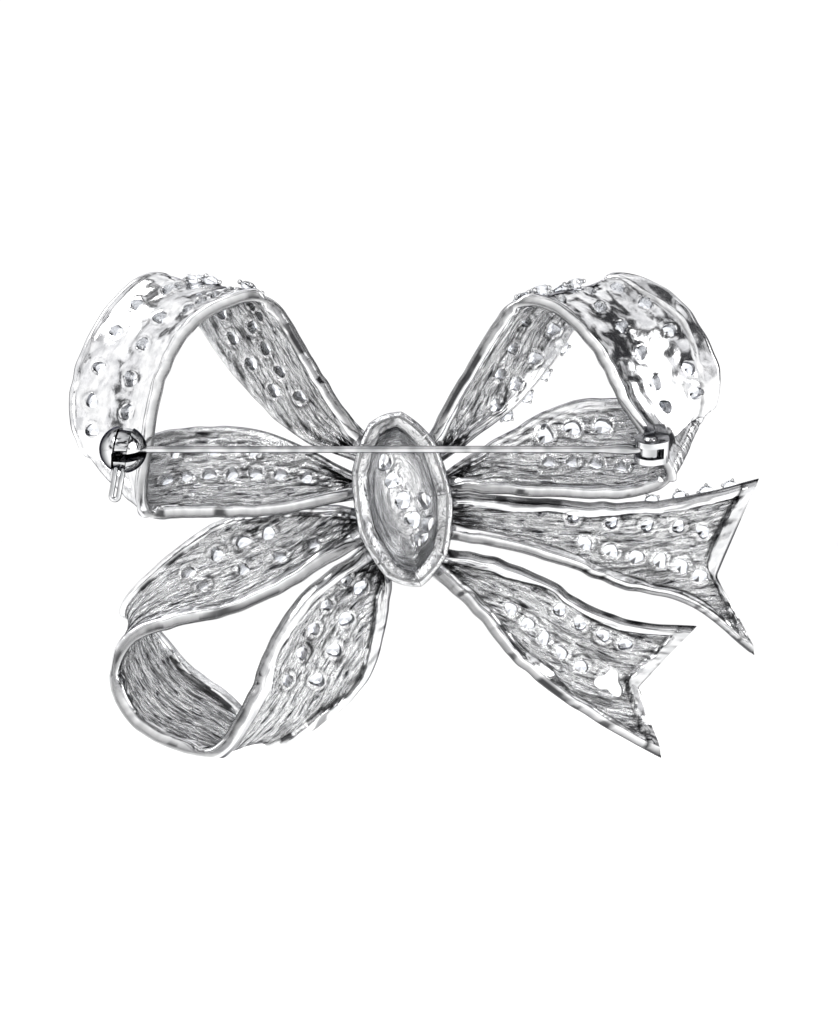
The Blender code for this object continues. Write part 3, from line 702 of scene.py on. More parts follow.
def cast_sheet(name, middle, normal, plus_face, minus_face, grain, seats, body):
    rise_plus, polish_plus, painted_shade_plus = plus_face
    rise_minus, polish_minus, painted_shade_minus = minus_face
    middle = middle.copy()
    kept = drill(middle, seats)
    rows, columns = middle.shape[:2]
    index = np.arange(rows * columns).reshape(rows, columns)
    cells = np.stack([index[:-1, :-1], index[1:, :-1], index[1:, 1:], index[:-1, 1:]], -1)[kept]
    offset = rows * columns
    starts = cells.reshape(-1)
    stops = np.roll(cells, -1, axis=1).reshape(-1)
    forward = starts.astype(np.int64) * offset + stops
    backward = stops.astype(np.int64) * offset + starts
    open_edge = ~np.isin(forward, backward)
    a = starts[open_edge]
    b = stops[open_edge]
    walls = np.stack([b, a, a + offset, b + offset], -1)
    faces = np.vstack([cells, cells[:, ::-1] + offset, walls])
    flat = middle.reshape(-1, 3)
    outward = normal.reshape(-1, 3)
    plus = flat + outward * rise_plus.reshape(-1, 1)
    minus = flat - outward * rise_minus.reshape(-1, 1)
    points = np.vstack([plus, minus]) * MM
    used = np.unique(faces)
    renumber = np.full(len(points), -1)
    renumber[used] = np.arange(len(used))
    mesh = bpy.data.meshes.new(name)
    mesh.from_pydata(points[used].tolist(), [], renumber[faces].tolist())
    lay = np.vstack([grain.reshape(-1, 2), grain.reshape(-1, 2) + FACE_SHIFT])[used]
    corners = np.zeros(len(mesh.loops), int)
    mesh.loops.foreach_get("vertex_index", corners)
    layer = mesh.uv_layers.new(name="grain")
    layer.data.foreach_set("uv", lay[corners].astype(np.float32).ravel())
    write_value(mesh, "polish", np.concatenate([polish_plus.ravel(), polish_minus.ravel()])[used])
    write_value(mesh, "painted_shade", np.concatenate([painted_shade_plus.ravel(), painted_shade_minus.ravel()])[used])
    mesh.shade_smooth()
    mesh.set_sharp_from_angle(angle=math.radians(48.0))
    mesh.materials.append(CASTING)
    piece = bpy.data.objects.new(name, mesh)
    bpy.context.scene.collection.objects.link(piece)
    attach(piece, body)
    print(name, "has", len(faces), "faces and", len(seats), "seats")
    return piece


# %% [markdown]
# The knot is an egg, open towards the wearer. The ribbons stop inside its wall, so we need to know, for
# any point, how deep in the egg it lies: less than 1 is inside.

# %% The knot's egg
KNOT_CENTRE = np.array([-2.0, -4.6, -4.9])
KNOT_HALF_SIZE = np.array([5.0, 8.0, 8.9])
KNOT_LEAN = math.radians(8.0)
KNOT_WALL = 0.9
KNOT_RIM_Y = -3.6
LEAN = np.array(Matrix.Rotation(KNOT_LEAN, 3, "Y"))


def egg_depth(points):
    local = (points - KNOT_CENTRE) @ LEAN
    return np.linalg.norm(local / KNOT_HALF_SIZE, axis=-1)


egg_tries = egg_depth(np.array([KNOT_CENTRE, (0, 0, 0)]))
print("depth of the knot's centre and of the pin's middle:", egg_tries.round(2))


# %% [markdown]
# Now the grid that one ribbon's metal lies on. Its cells are about as long all the way, so that the grain
# and the seats come out evenly, and it starts and stops just inside the knot's wall. Columns crowd
# towards the two edges, where the rims need more detail.

# %% A ribbon's grid
HALF_METAL = 0.4
GRID_STEP = 0.17
COLUMNS = 64
EDGE_CROWDING = 0.45
TRACE_STEPS = 900
KNOT_REACH = 0.95


def ribbon_grid(stations, notched):
    last = len(stations) - 1
    crowded = 0.5 - 0.5 * np.cos(np.linspace(0.0, math.pi, COLUMNS))
    across = EDGE_CROWDING * crowded + (1.0 - EDGE_CROWDING) * np.linspace(0.0, 1.0, COLUMNS)
    fine = np.linspace(0.0, last, TRACE_STEPS)
    grid_along, grid_across = np.meshgrid(fine, across, indexing="ij")
    traced = middle_surface(stations, grid_along, grid_across, notched)
    outside = egg_depth(traced) > KNOT_REACH
    starts = fine[outside.argmax(axis=0)]
    ends = fine[len(fine) - 1 - outside[::-1].argmax(axis=0)]
    if notched:
        ends = np.full(COLUMNS, float(last))
    steps = np.linalg.norm(np.diff(traced[:, COLUMNS // 2], axis=0), axis=1)
    length = np.concatenate([[0.0], np.cumsum(steps)])
    first_length = np.interp(starts.mean(), fine, length)
    last_length = np.interp(ends.mean(), fine, length)
    count = int((last_length - first_length) / GRID_STEP)
    even = np.interp(np.linspace(first_length, last_length, count), length, fine)
    share = (even - even[0]) / (even[-1] - even[0])
    along = starts[None, :] + (ends - starts)[None, :] * share[:, None]
    run_length = np.interp(along, fine, length)
    into_knot = run_length - first_length
    if not notched:
        into_knot = np.minimum(into_knot, last_length - run_length)
    return along, np.broadcast_to(across, along.shape), run_length, into_knot


print("the upper tail's grid is", ribbon_grid(UPPER_TAIL, True)[0].shape)


# %% [markdown]
# Seats come in rows along a ribbon. A stone faces the front of the bow, and where a fold stands edge-on it
# faces away from the middle of its own ribbon. Each seat leaves marks on both faces: a lip on the back,
# where the drill broke through, and a collar on the front, which carries the stone.

# %% Rows of seats and their marks
STONE_RADIUS = 1.0
GIRDLE_LIFT = 0.5
FOLD_FACING = 0.35
NUDGE = 0.02


def seat_row(start, end, count, across_start, across_end, radius=0.66):
    share = np.linspace(0.0, 1.0, count)
    along = start + (end - start) * share
    across = across_start + (across_end - across_start) * share
    return [(a, c, radius) for a, c in zip(along, across)]


def find_seats(stations, spots, notched, heart):
    seats = []
    for along, across, radius, *shape in spots:
        nudge = np.array([-NUDGE, 0.0, NUDGE])
        a, c = np.meshgrid(along + nudge, across + nudge, indexing="ij")
        patch = middle_surface(stations, a, c, notched)
        normal = grid_normals(patch)[1, 1]
        facing = normal[1]
        if abs(facing) < FOLD_FACING:
            facing = -normal @ (patch[1, 1] - heart)
        if facing > 0:
            normal = -normal
        seats.append(Seat(patch[1, 1], normal, radius, *shape))
    return seats


def seat_marks(middle, seats):
    """How strongly each point feels a lip, its foot, a collar and its foot."""
    lip, lip_foot, collar, collar_foot = (np.zeros(middle.shape[:2]) for mark in range(4))
    for seat in seats:
        u, v, depth = seat.offsets(middle)
        distance = np.hypot(u, v) + 10.0 * (np.abs(depth) > 1.6)
        lip = np.maximum(lip, bump(distance, seat.radius + 0.16, 0.13))
        lip_foot = np.maximum(lip_foot, bump(distance, seat.radius + 0.52, 0.14))
        if seat.stone:
            reach = seat.size * STONE_RADIUS
            collar = np.maximum(collar, 1 - ease(distance, reach, reach + 0.26))
            collar_foot = np.maximum(collar_foot, bump(distance, reach + 0.34, 0.14))
    return lip, lip_foot, collar, collar_foot


print("a row of three seats:", [round(float(spot[0]), 2) for spot in seat_row(1.0, 2.0, 3, 0.5, 0.5)])


# %% [markdown]
# Now one ribbon. Its back has a raised rim, a grained hollow, lips round the seats, and gathers where it
# enters the knot, with a ladder of short pleats. Where the ribbon folds, front and back swap faces, so
# each effect is weighed by which way the face looks. The same marks that shape the metal also say where
# it is polished and where shade is painted into its colour.

# %% One ribbon casting
GATHERS = 7.0
GATHER_DEPTH = 0.42
GATHER_FADE = 3.0
LADDER_PLACE = 1.5
LADDER_WIDTH = 0.4
LADDER_PITCH = 0.55
LIP_HEIGHT = 0.12
COLLAR_HEIGHT = 0.34
EDGE_ROUND = 0.34
END_BAND = 1.6


def make_ribbon(name, stations, spots, rims, smooth_span, seed, notched=False):
    along, t, run_length, into_knot = ribbon_grid(stations, notched)
    middle = middle_surface(stations, along, t, notched)
    normal = grid_normals(middle)
    width = np.linalg.norm(middle[:, -1] - middle[:, 0], axis=-1)[:, None]
    from_near = t * width
    from_front = (1.0 - t) * width
    from_edge = np.minimum(from_near, from_front)
    seats = find_seats(stations, spots, notched, middle.reshape(-1, 3).mean(axis=0))
    to_end = np.full_like(t, 99.0)
    if notched:
        to_end = np.linalg.norm(middle - middle[-1:], axis=-1)
    flat = np.zeros_like(t)

    drift = 0.8 * waver(run_length / 3.0, t * 2.0, seed + 8)
    gather_wave = np.cos(2 * math.pi * t * GATHERS + seed + drift)
    gather_fade = np.exp(-np.maximum(into_knot, 0.0) / GATHER_FADE) * ease(from_edge, 0.0, 0.5)
    sway = 0.11 * waver(run_length / 3.1, from_near / 2.6, seed)
    sway += 0.05 * waver(run_length / 1.1, from_near / 0.9, seed + 1)
    lift = GATHER_DEPTH * gather_fade * gather_wave + sway * ease(from_edge, 0.0, 1.0)
    middle = middle + normal * lift[..., None]
    ladder = bump(into_knot - LADDER_PLACE, 0.3 * waver(t * 4.0, flat, seed + 9), LADDER_WIDTH)
    rungs = ease(np.cos(2 * math.pi * width * t / LADDER_PITCH), 0.1, 0.7)
    ladder = ladder * rungs * ease(from_edge, 0.2, 0.7)
    across_way = unit(middle[:, -1] - middle[:, 0])[:, None, :]
    ragged = 0.10 * waver(run_length / 1.3, flat, seed + 2) * (2 * t - 1)
    middle = middle + across_way * (ragged * ease(to_end, 1.0, 4.0))[..., None]

    near_rim, front_rim, near_width, front_width = rims
    near_width = near_width * (1 + 0.35 * waver(run_length / 4.0, flat, seed + 5))
    front_width = front_width * (1 + 0.35 * waver(run_length / 4.0, flat, seed + 6))
    rim = near_rim * (1 - ease(from_near, near_width - 0.2, near_width + 0.2))
    rim = np.maximum(rim, front_rim * (1 - ease(from_front, front_width - 0.2, front_width + 0.2)))
    rim_foot = near_rim * bump(from_near, near_width + 0.12, 0.16)
    rim_foot = rim_foot + front_rim * bump(from_front, front_width + 0.12, 0.16)
    strokes = waver(run_length / 2.4, from_near / 0.34, seed + 3)
    strokes += 0.6 * waver(run_length / 1.2, from_near / 0.2, seed + 4)
    blotch = 0.5 + 0.5 * waver(run_length / 1.6, from_near / 0.9, seed + 7)
    lip, lip_foot, collar, collar_foot = seat_marks(middle, seats)
    smooth_start, smooth_end = smooth_span
    smooth = ease(along, smooth_start - 0.4, smooth_start + 0.2)
    smooth = smooth * (1 - ease(along, smooth_end - 0.2, smooth_end + 0.4))
    end_wall = 1 - ease(to_end, END_BAND - 0.2, END_BAND + 0.2)
    end_foot = bump(to_end, END_BAND + 0.15, 0.2)
    raised = np.maximum(rim, end_wall * 0.8)
    dash = ease(blotch, 0.42, 0.60)
    # Painted shade: a dark line along both edges of the ribbon.
    painted_edge_line = 0.7 * (1 - ease(from_edge, 0.03, 0.16))

    def face(looks_back):
        back = ease(looks_back, 0.0, 0.3)
        fore = ease(-looks_back, 0.05, 0.35)
        groove = 0.06 * strokes * (1 - smooth) * (1 - np.clip(raised / 0.3, 0, 1))
        rise = HALF_METAL + back * (raised + groove + LIP_HEIGHT * lip * (1 - 0.6 * smooth))
        rise += fore * COLLAR_HEIGHT * collar - back * 0.12 * ladder
        rounding = np.clip(np.minimum(from_edge, to_end) / EDGE_ROUND, 0.0, 1.0)
        rise = rise * np.sqrt(np.maximum(1 - (1 - rounding) ** 2, 0.02))
        polish = np.clip(raised / 0.25 + smooth + 0.7 * lip + 0.75 * (1 - back), 0.0, 1.0)
        # Painted shade on the back: darker at the feet of rims and lips, at the tail ends, in the grain's
        # grooves, in the gather troughs and pleats, and along the edges.
        painted_shade = 2.2 * rim_foot * dash + 1.2 * end_foot * (0.4 + 0.6 * dash)
        painted_shade += end_wall * (0.12 + 0.20 * blotch) + 0.9 * (1 - ease(to_end, 0.10, 0.30))
        painted_shade += (0.6 * lip_foot * dash + 0.6 * ease(-strokes, 0.35, 0.9)) * (1 - 0.8 * smooth)
        painted_shade += 1.8 * gather_fade * ease(-gather_wave, 0.1, 0.9) * ease(blotch, 0.2, 0.5)
        painted_shade += painted_edge_line + 2.4 * ladder
        # Painted shade on the front: the dark edge line and a dark ring round each collar's foot.
        front_painted_shade = painted_edge_line + 0.5 * collar_foot * dash
        return rise, polish, np.clip(back * painted_shade + (1 - back) * front_painted_shade, 0.0, 0.95)

    grain = np.stack([run_length, from_near], -1)
    looks_back = normal[..., 1]
    piece = cast_sheet(name, middle, normal, face(looks_back), face(-looks_back), grain, seats, "bow")
    return piece, seats


print("gathers per ribbon:", round(GATHERS))


# %% [markdown]
# Here are the five ribbons and the rows of seats drilled in each. A row says where it starts and ends
# along the ribbon, how many seats it has and how far across it runs. The stones of the first rows are
# nodes of the frame; the accent rows are only dressed here. The four rim numbers are the height of the
# near and front rims, then their widths, and the span after them is where the back was polished smooth.
# The last spot of the lower tail is a wide three-lobed hole with no stone.

# %% The five ribbons
EDGE_SEAT_RADIUS = 0.5
FORWARDS = np.array((0.0, -0.95, 0.0))
NEVER_SMOOTH = (20.0, 21.0)
ribbons = {}


def edge_row(stations, start, end, count, share):
    """Stones on the very edge, facing forwards and a little outwards; share is 0 near, 1 front."""
    seats = []
    for along in np.linspace(start, end, count):
        near = spline([near for near, front in stations], [along])[0]
        front = spline([front for near, front in stations], [along])[0]
        across = unit(front - near) * (1 if share > 0.5 else -1)
        place = near + (front - near) * share
        seats.append(Seat(place, unit(across * 0.35 + FORWARDS), EDGE_SEAT_RADIUS))
    return seats


def add_ribbon(node_name, stations, spots, rims, smooth_span, seed, notched=False, edge=()):
    name = f"{node_name}_casting"
    piece, seats = make_ribbon(name, stations, spots, rims, smooth_span, seed, notched)
    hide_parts(node_name)
    ribbons[node_name] = seats + list(edge)


add_ribbon(
    "loop_upper_catch_side", UPPER_CATCH_SIDE,
    seat_row(5.62, 7.83, 5, 0.77, 0.78) + seat_row(9.7, 11.35, 7, 0.50, 0.50)
    + seat_row(1.45, 2.7, 4, 0.52, 0.48) + seat_row(1.68, 2.6, 3, 0.74, 0.75)
    + seat_row(5.72, 7.45, 4, 0.46, 0.38, 0.75) + seat_row(9.95, 10.85, 3, 0.76, 0.74, 0.5)
    + seat_row(2.9, 5.3, 7, 0.30, 0.30, 0.6) + seat_row(3.1, 5.0, 6, 0.70, 0.70, 0.6),
    (0.5, 0.15, 0.8, 0.5), (4.3, 9.0), 11)
add_ribbon(
    "loop_upper_hinge_side", UPPER_HINGE_SIDE,
    seat_row(1.73, 3.58, 4, 0.77, 0.78) + seat_row(5.3, 7.35, 5, 0.78, 0.74)
    + seat_row(2.45, 3.6, 3, 0.52, 0.40) + seat_row(5.45, 7.35, 5, 0.43, 0.40, 0.72)
    + seat_row(10.28, 11.3, 4, 0.33, 0.42) + seat_row(10.53, 11.38, 3, 0.75, 0.75, 0.85)
    + seat_row(3.95, 4.85, 3, 0.25, 0.25, 0.6) + seat_row(4.0, 4.9, 4, 0.62, 0.62, 0.6),
    (0.45, 0.3, 0.8, 1.6), (4.3, 8.8), 23, edge=edge_row(UPPER_HINGE_SIDE, 1.6, 3.9, 5, 0.97))
add_ribbon(
    "loop_lower_catch_side", LOWER_CATCH_SIDE,
    seat_row(2.27, 3.73, 4, 0.75, 0.67, 0.72) + seat_row(10.53, 12.35, 5, 0.35, 0.30)
    + seat_row(1.35, 3.5, 4, 0.45, 0.43) + seat_row(10.72, 12.3, 4, 0.62, 0.58, 0.75),
    (0.6, 0.6, 1.3, 0.9), NEVER_SMOOTH, 37)
add_ribbon(
    "tail_upper", UPPER_TAIL,
    seat_row(2.4, 4.22, 6, 0.60, 0.68, 0.72) + seat_row(2.2, 4.2, 5, 0.22, 0.32),
    (0.6, 0.5, 0.9, 0.9), NEVER_SMOOTH, 41, True, edge_row(UPPER_TAIL, 3.2, 4.5, 4, 0.03))
add_ribbon(
    "tail_lower", LOWER_TAIL,
    seat_row(1.65, 3.35, 5, 0.54, 0.60) + seat_row(2.5, 3.95, 4, 0.20, 0.22)
    + [(4.02, 0.60, 1.25, 3, 0.22, False)],
    (0.6, 0.6, 0.9, 1.2), NEVER_SMOOTH, 53, True)


# %% [markdown]
# The knot carries seven stones: a leaning row of five over its dome and two beside it. Each seat sits on
# the dome's surface, a slightly squared egg, and faces straight out of it.

# %% Seats on the knot
KNOT_ROW_LEAN = math.radians(22.0)
KNOT_ROW_PITCH = 2.4
KNOT_SQUARENESS = 2.5
KNOT_SEAT_RADIUS = 0.92
TINY = 1e-6


def knot_seats():
    spots = [step * KNOT_ROW_PITCH for step in (2, 1, 0, -1, -2)]
    spots = [(height * math.sin(KNOT_ROW_LEAN), height * math.cos(KNOT_ROW_LEAN)) for height in spots]
    spots += [(-2.8, -0.4), (-2.9, -2.95)]
    seats = []
    for x, z in spots:
        share = math.hypot(x / KNOT_HALF_SIZE[0], z / KNOT_HALF_SIZE[2])
        level = (1.0 - share ** KNOT_SQUARENESS) ** (1 / KNOT_SQUARENESS)
        local = np.array([x, -level * KNOT_HALF_SIZE[1], z])
        side_flat = share ** (KNOT_SQUARENESS - 2.0) + TINY
        front_flat = level ** (KNOT_SQUARENESS - 2.0)
        normal = unit(local / KNOT_HALF_SIZE ** 2 * (side_flat, front_flat, side_flat))
        place = KNOT_CENTRE + LEAN @ (local - normal * (KNOT_WALL / 2))
        seats.append(Seat(place, LEAN @ normal, KNOT_SEAT_RADIUS))
    return seats


print("knot seats at, in mm:", [seat.centre.round(1).tolist() for seat in knot_seats()])


# %% [markdown]
# The knot itself is the same kind of sheet, laid over the egg. A square grid is squeezed into a disc
# first, so there is no crowded pole at the front where the middle stone sits. The rim is faceted where
# the caster filed it, and the wall is thicker there. Inside, the wall keeps a trace of the grain.

# %% Knot casting
KNOT_GRID = 120
FACETS = 9
FACET_TURN = 0.3
FACET_DEPTH = 0.45
RIM_THICKENING = 0.7


def make_knot():
    line = np.linspace(-1.0, 1.0, KNOT_GRID)
    a, b = np.meshgrid(line, line, indexing="ij")
    u = a * np.sqrt(1 - b * b / 2)
    v = b * np.sqrt(1 - a * a / 2)
    reach = np.hypot(u, v)
    turn = np.arctan2(v, u)
    rim_level = (KNOT_RIM_Y - KNOT_CENTRE[1]) / KNOT_HALF_SIZE[1]
    tilt = reach * math.acos(-rim_level)
    slice_angle = 2 * math.pi / FACETS
    facet = math.cos(math.pi / FACETS) / np.cos(np.mod(turn + FACET_TURN, slice_angle) - math.pi / FACETS)
    facet = 1.0 + FACET_DEPTH * (facet - 0.985) * ease(reach, 0.25, 0.8)
    height = np.abs(1 - np.sin(tilt) ** KNOT_SQUARENESS) ** (1 / KNOT_SQUARENESS)
    level = -np.sign(np.cos(tilt)) * height
    ball = np.stack([np.sin(tilt) * np.cos(turn), level, np.sin(tilt) * np.sin(turn)], -1)
    outer = ball * KNOT_HALF_SIZE
    outer[..., 0] *= facet
    outer[..., 2] *= facet
    outward = grid_normals(outer)
    if outward[KNOT_GRID // 2, KNOT_GRID // 2, 1] > 0:
        outward = -outward
    middle = KNOT_CENTRE + (outer - outward * (KNOT_WALL / 2)) @ LEAN.T
    outward = outward @ LEAN.T
    seats = knot_seats()
    around = turn * 6.0
    depth_way = reach * 12.0
    chatter = 0.10 * waver(around / 4.0 + 9, depth_way / 2.2, 71) * ease(1 - reach, 0.0, 0.1)
    middle = middle + outward * chatter[..., None]
    collar = np.zeros_like(reach)
    lip = np.zeros_like(reach)
    for seat in seats:
        p, q, depth = seat.offsets(middle)
        distance = np.hypot(p, q) + 10.0 * (np.abs(depth) > 2.0)
        collar = np.maximum(collar, 1 - ease(distance, STONE_RADIUS + 0.02, STONE_RADIUS + 0.28))
        lip = np.maximum(lip, bump(distance, seat.radius + 0.2, 0.18))
    rounding = np.clip((1 - reach) * 9.0 / 0.3, 0.0, 1.0)
    rounding = np.sqrt(np.maximum(1 - (1 - rounding) ** 2, 0.03))
    rise_out = (KNOT_WALL / 2 + COLLAR_HEIGHT * collar) * rounding
    blotch = 0.5 + 0.5 * waver(around / 1.1 + 30, depth_way / 1.3 + 10, 75)
    strokes = waver(turn * 2.6 + 40, reach * 17.0 + 60, 72)
    strokes += 0.6 * waver(turn * 5.0 + 60, reach * 31.0 + 20, 73)
    thick_rim = RIM_THICKENING * ease(reach, 0.72, 0.97)
    rise_in = (KNOT_WALL / 2 + 0.06 * strokes + LIP_HEIGHT * lip + thick_rim) * rounding
    grain = np.stack([turn * 5.0, reach * 13.0], -1)
    flip = np.sign((grid_normals(middle) * outward).sum(-1).mean())
    normal = outward * flip
    shine_out = 1.0 - 0.75 * ease(reach, 0.84, 0.93)
    shine_in = np.clip(0.80 - 0.55 * ease(reach, 0.66, 0.80) + 0.3 * lip, 0.0, 1.0)
    # Painted shade inside the knot: darker towards the rim, a dark line near it, and shade in the grain's
    # grooves.
    painted_shade_in = 0.22 * ease(reach, 0.80, 0.86) + 0.9 * bump(reach, 0.80, 0.03) * ease(blotch, 0.4, 0.7)
    painted_shade_in += 0.35 * ease(-strokes, 0.4, 1.0) * ease(reach, 0.3, 0.7)
    outer_face = (rise_out, shine_out, np.zeros_like(reach))
    inner_face = (rise_in, shine_in, np.clip(painted_shade_in, 0.0, 0.9))
    faces = (outer_face, inner_face) if flip > 0 else (inner_face, outer_face)
    piece = cast_sheet("knot_casting", middle, normal, *faces, grain, seats, "bow")
    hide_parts("knot")
    return seats


ribbons["knot"] = make_knot()


# %% [markdown]
# A round brilliant has an eight-sided table, a ring of kite facets, a thin girdle and a deep pointed
# pavilion. The convex hull of just those corner points is that stone, cut into flat triangles.

# %% Brilliant-cut stone
TABLE = (0.56, 0.45)
KITE = (0.80, 0.30)
GIRDLE = 0.10
PAVILION = (0.42, -0.52)
CULET = -0.85


def on_circle(radius, angle, height):
    return radius * math.cos(angle), radius * math.sin(angle), height


def take_shape(shape):
    """The points and faces of a bmesh, which is then freed."""
    shape.verts.index_update()
    points = np.array([vertex.co for vertex in shape.verts])
    faces = [[vertex.index for vertex in face.verts] for face in shape.faces]
    shape.free()
    return points, faces


def brilliant():
    corners = [(0.0, 0.0, CULET)]
    for step in range(8):
        angle = step * math.pi / 4
        kite = angle + math.pi / 8
        corners.append(on_circle(TABLE[0], angle, TABLE[1]))
        corners.append(on_circle(KITE[0], kite, KITE[1]))
        corners.append(on_circle(PAVILION[0], kite, PAVILION[1]))
        for turn in (angle, kite):
            corners.append(on_circle(1.0, turn, GIRDLE))
            corners.append(on_circle(1.0, turn, 0.0))
    shape = bmesh.new()
    for corner in corners:
        shape.verts.new(corner)
    bmesh.ops.convex_hull(shape, input=shape.verts)
    bmesh.ops.recalc_face_normals(shape, faces=shape.faces)
    return take_shape(shape)


def scatter(name, shape, places, material, smooth):
    points, faces = shape
    all_points = []
    all_faces = []
    for number, (centre, axes) in enumerate(places):
        all_points.append(centre + points @ axes.T)
        all_faces.extend([[index + number * len(points) for index in face] for face in faces])
    mesh = bpy.data.meshes.new(name)
    mesh.from_pydata((np.vstack(all_points) * MM).tolist(), [], all_faces)
    mesh.materials.append(material)
    if smooth:
        mesh.shade_smooth()
    piece = bpy.data.objects.new(name, mesh)
    bpy.context.scene.collection.objects.link(piece)
    return piece


STONE = brilliant()
print("one stone has", len(STONE[1]), "triangles")


# %% [markdown]
# The stones sit on their collars with four bead prongs each. We set all the stones of a casting at once,
# and each set stands for the crystal nodes that the frame has there. Every stone is spun a little
# further than the last, as loose stones fall into their seats.

# %% Setting the stones
BEAD_RADIUS = 0.24
BEAD_GAP = 0.05
STONE_SPIN = 0.7
BEAD_SPIN = 0.3


def bead_shape():
    shape = bmesh.new()
    bmesh.ops.create_icosphere(shape, subdivisions=2, radius=BEAD_RADIUS)
    return take_shape(shape)


def set_stones(node_name, seats, wall):
    stones = []
    beads = []
    for number, seat in enumerate(seats):
        if not seat.stone:
            continue
        axes = np.stack([seat.side, seat.up, seat.normal], axis=1)
        spin = np.array(Matrix.Rotation(number * STONE_SPIN, 3, "Z"))
        girdle = seat.centre + seat.normal * (wall + GIRDLE_LIFT * seat.size)
        stones.append((girdle, axes @ spin * seat.size))
        for corner in range(4):
            angle = math.pi / 4 + corner * math.pi / 2 + number * BEAD_SPIN
            foot = seat.side * math.cos(angle) + seat.up * math.sin(angle)
            place = girdle + foot * (STONE_RADIUS * seat.size + BEAD_GAP) + seat.normal * BEAD_GAP
            beads.append((place, axes * seat.size))
    crystals = scatter(f"{node_name}_stones", STONE, stones, CRYSTAL, False)
    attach(crystals, "bow")
    nodes = [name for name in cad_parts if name.startswith(f"crystal_{node_name}_")]
    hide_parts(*nodes)
    prongs = scatter(f"{node_name}_prongs", bead_shape(), beads, FINDING, True)
    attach(prongs, "bow")
    return len(stones)


total = 0
for node_name, seats in ribbons.items():
    total += set_stones(node_name, seats, HALF_METAL if node_name != "knot" else KNOT_WALL / 2)
print(total, "stones set")


# %% [markdown]
# The findings are turned and milled pieces. Each is built in its own axes from round and square bars,
# added and cut with Booleans, and then gets a tiny bevel, because no machined edge is truly sharp and it
# is the bevel that catches the light.

# %% Tools for turned and milled metal
SWING_LEAN = math.radians(25.0)
HINGE_X = -26.3
CATCH_X = 25.4
SIDES = 72


def swing_axes(origin_x):
    return Matrix.Translation((origin_x * MM, 0.0, 0.0)) @ Matrix.Rotation(-SWING_LEAN, 4, "X")


def round_bar(radius, low, high, end_radius=None):
    def build(shape):
        bmesh.ops.create_cone(
            shape, cap_ends=True, segments=SIDES, radius1=radius, radius2=end_radius or radius,
            depth=high - low, matrix=Matrix.Translation((0.0, 0.0, (low + high) / 2)))
    return build


def square_bar(low, high):
    def build(shape):
        size = Matrix.Diagonal((*(Vector(high) - Vector(low)), 1.0))
        middle = Matrix.Translation((Vector(low) + Vector(high)) / 2)
        bmesh.ops.create_cube(shape, size=1.0, matrix=middle @ size)
    return build


def metal_body(name, build, axes):
    shape = bmesh.new()
    build(shape)
    bmesh.ops.scale(shape, vec=(MM, MM, MM), verts=shape.verts)
    bmesh.ops.transform(shape, matrix=axes, verts=shape.verts)
    bmesh.ops.recalc_face_normals(shape, faces=shape.faces)
    mesh = bpy.data.meshes.new(name)
    shape.to_mesh(mesh)
    shape.free()
    body = bpy.data.objects.new(name, mesh)
    bpy.context.scene.collection.objects.link(body)
    return body


def shape_with(target, steps, bevel, material):
    """Add or cut bodies in turn, bevel the edges and bake the result."""
    tools = []
    for operation, build, axes in steps:
        tool = metal_body("tool", build, axes)
        cut = target.modifiers.new("shape", "BOOLEAN")
        cut.operation = operation
        cut.solver = "EXACT"
        cut.object = tool
        tools.append(tool)
    edge = target.modifiers.new("edge", "BEVEL")
    edge.width = bevel * MM
    edge.segments = 3
    edge.limit_method = "ANGLE"
    edge.angle_limit = math.radians(35.0)
    bpy.context.view_layer.update()
    mesh = bpy.data.meshes.new_from_object(target.evaluated_get(bpy.context.evaluated_depsgraph_get()))
    target.modifiers.clear()
    target.data = mesh
    mesh.materials.clear()
    mesh.materials.append(material)
    mesh.shade_smooth()
    mesh.set_sharp_from_angle(angle=math.radians(40.0))
    for tool in tools:
        bpy.data.objects.remove(tool)


print("pivots stand", round(CATCH_X - HINGE_X, 1), "mm apart")


# %% [markdown]
# The hinge yoke is a fork. Its two round cheeks hold the rivet, a wall closes its back, and a foot runs
# down to the ribbon. The throat between the cheeks leaves the pin's eye a tenth of a millimetre on each
# side. THROUGH is a length in millimetres that cuts right through any of the findings.

# %% Hinge yoke
THROUGH = 3.0
EYE_THICKNESS = 0.9
CHEEK_INSIDE = EYE_THICKNESS / 2 + 0.1
CHEEK_OUTSIDE = CHEEK_INSIDE + 0.6
CHEEK_RADIUS = 1.5
CHEEK_BACK_RADIUS = 1.3
YOKE_BACK = 1.9
FOOT_TOP = -1.3
FOOT_HALF_WIDTH = 1.05
RIVET_BORE = 0.42
hinge_axes = swing_axes(HINGE_X)
back_axes = hinge_axes @ Matrix.Translation(((CHEEK_BACK_RADIUS - YOKE_BACK) * MM, 0.0, 0.0))
cheeks = round_bar(CHEEK_RADIUS, -CHEEK_OUTSIDE, CHEEK_OUTSIDE)
back = round_bar(CHEEK_BACK_RADIUS, -CHEEK_OUTSIDE, CHEEK_OUTSIDE)
saddle = square_bar((-YOKE_BACK, FOOT_TOP, -CHEEK_OUTSIDE), (0.6, 0.0, CHEEK_OUTSIDE))
foot = square_bar((-1.8, FOOT_TOP - 2.6, -FOOT_HALF_WIDTH), (0.3, FOOT_TOP + 0.1, FOOT_HALF_WIDTH))
throat = square_bar((-1.3, FOOT_TOP, -CHEEK_INSIDE), (THROUGH, THROUGH, CHEEK_INSIDE))
yoke = metal_body("hinge_yoke_polished", cheeks, hinge_axes)
shape_with(yoke, [
    ("UNION", back, back_axes),
    ("UNION", saddle, hinge_axes),
    ("UNION", foot, hinge_axes),
    ("DIFFERENCE", throat, hinge_axes),
    ("DIFFERENCE", round_bar(RIVET_BORE, -THROUGH, THROUGH), hinge_axes),
], 0.2, HINGE)
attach(yoke, "bow")
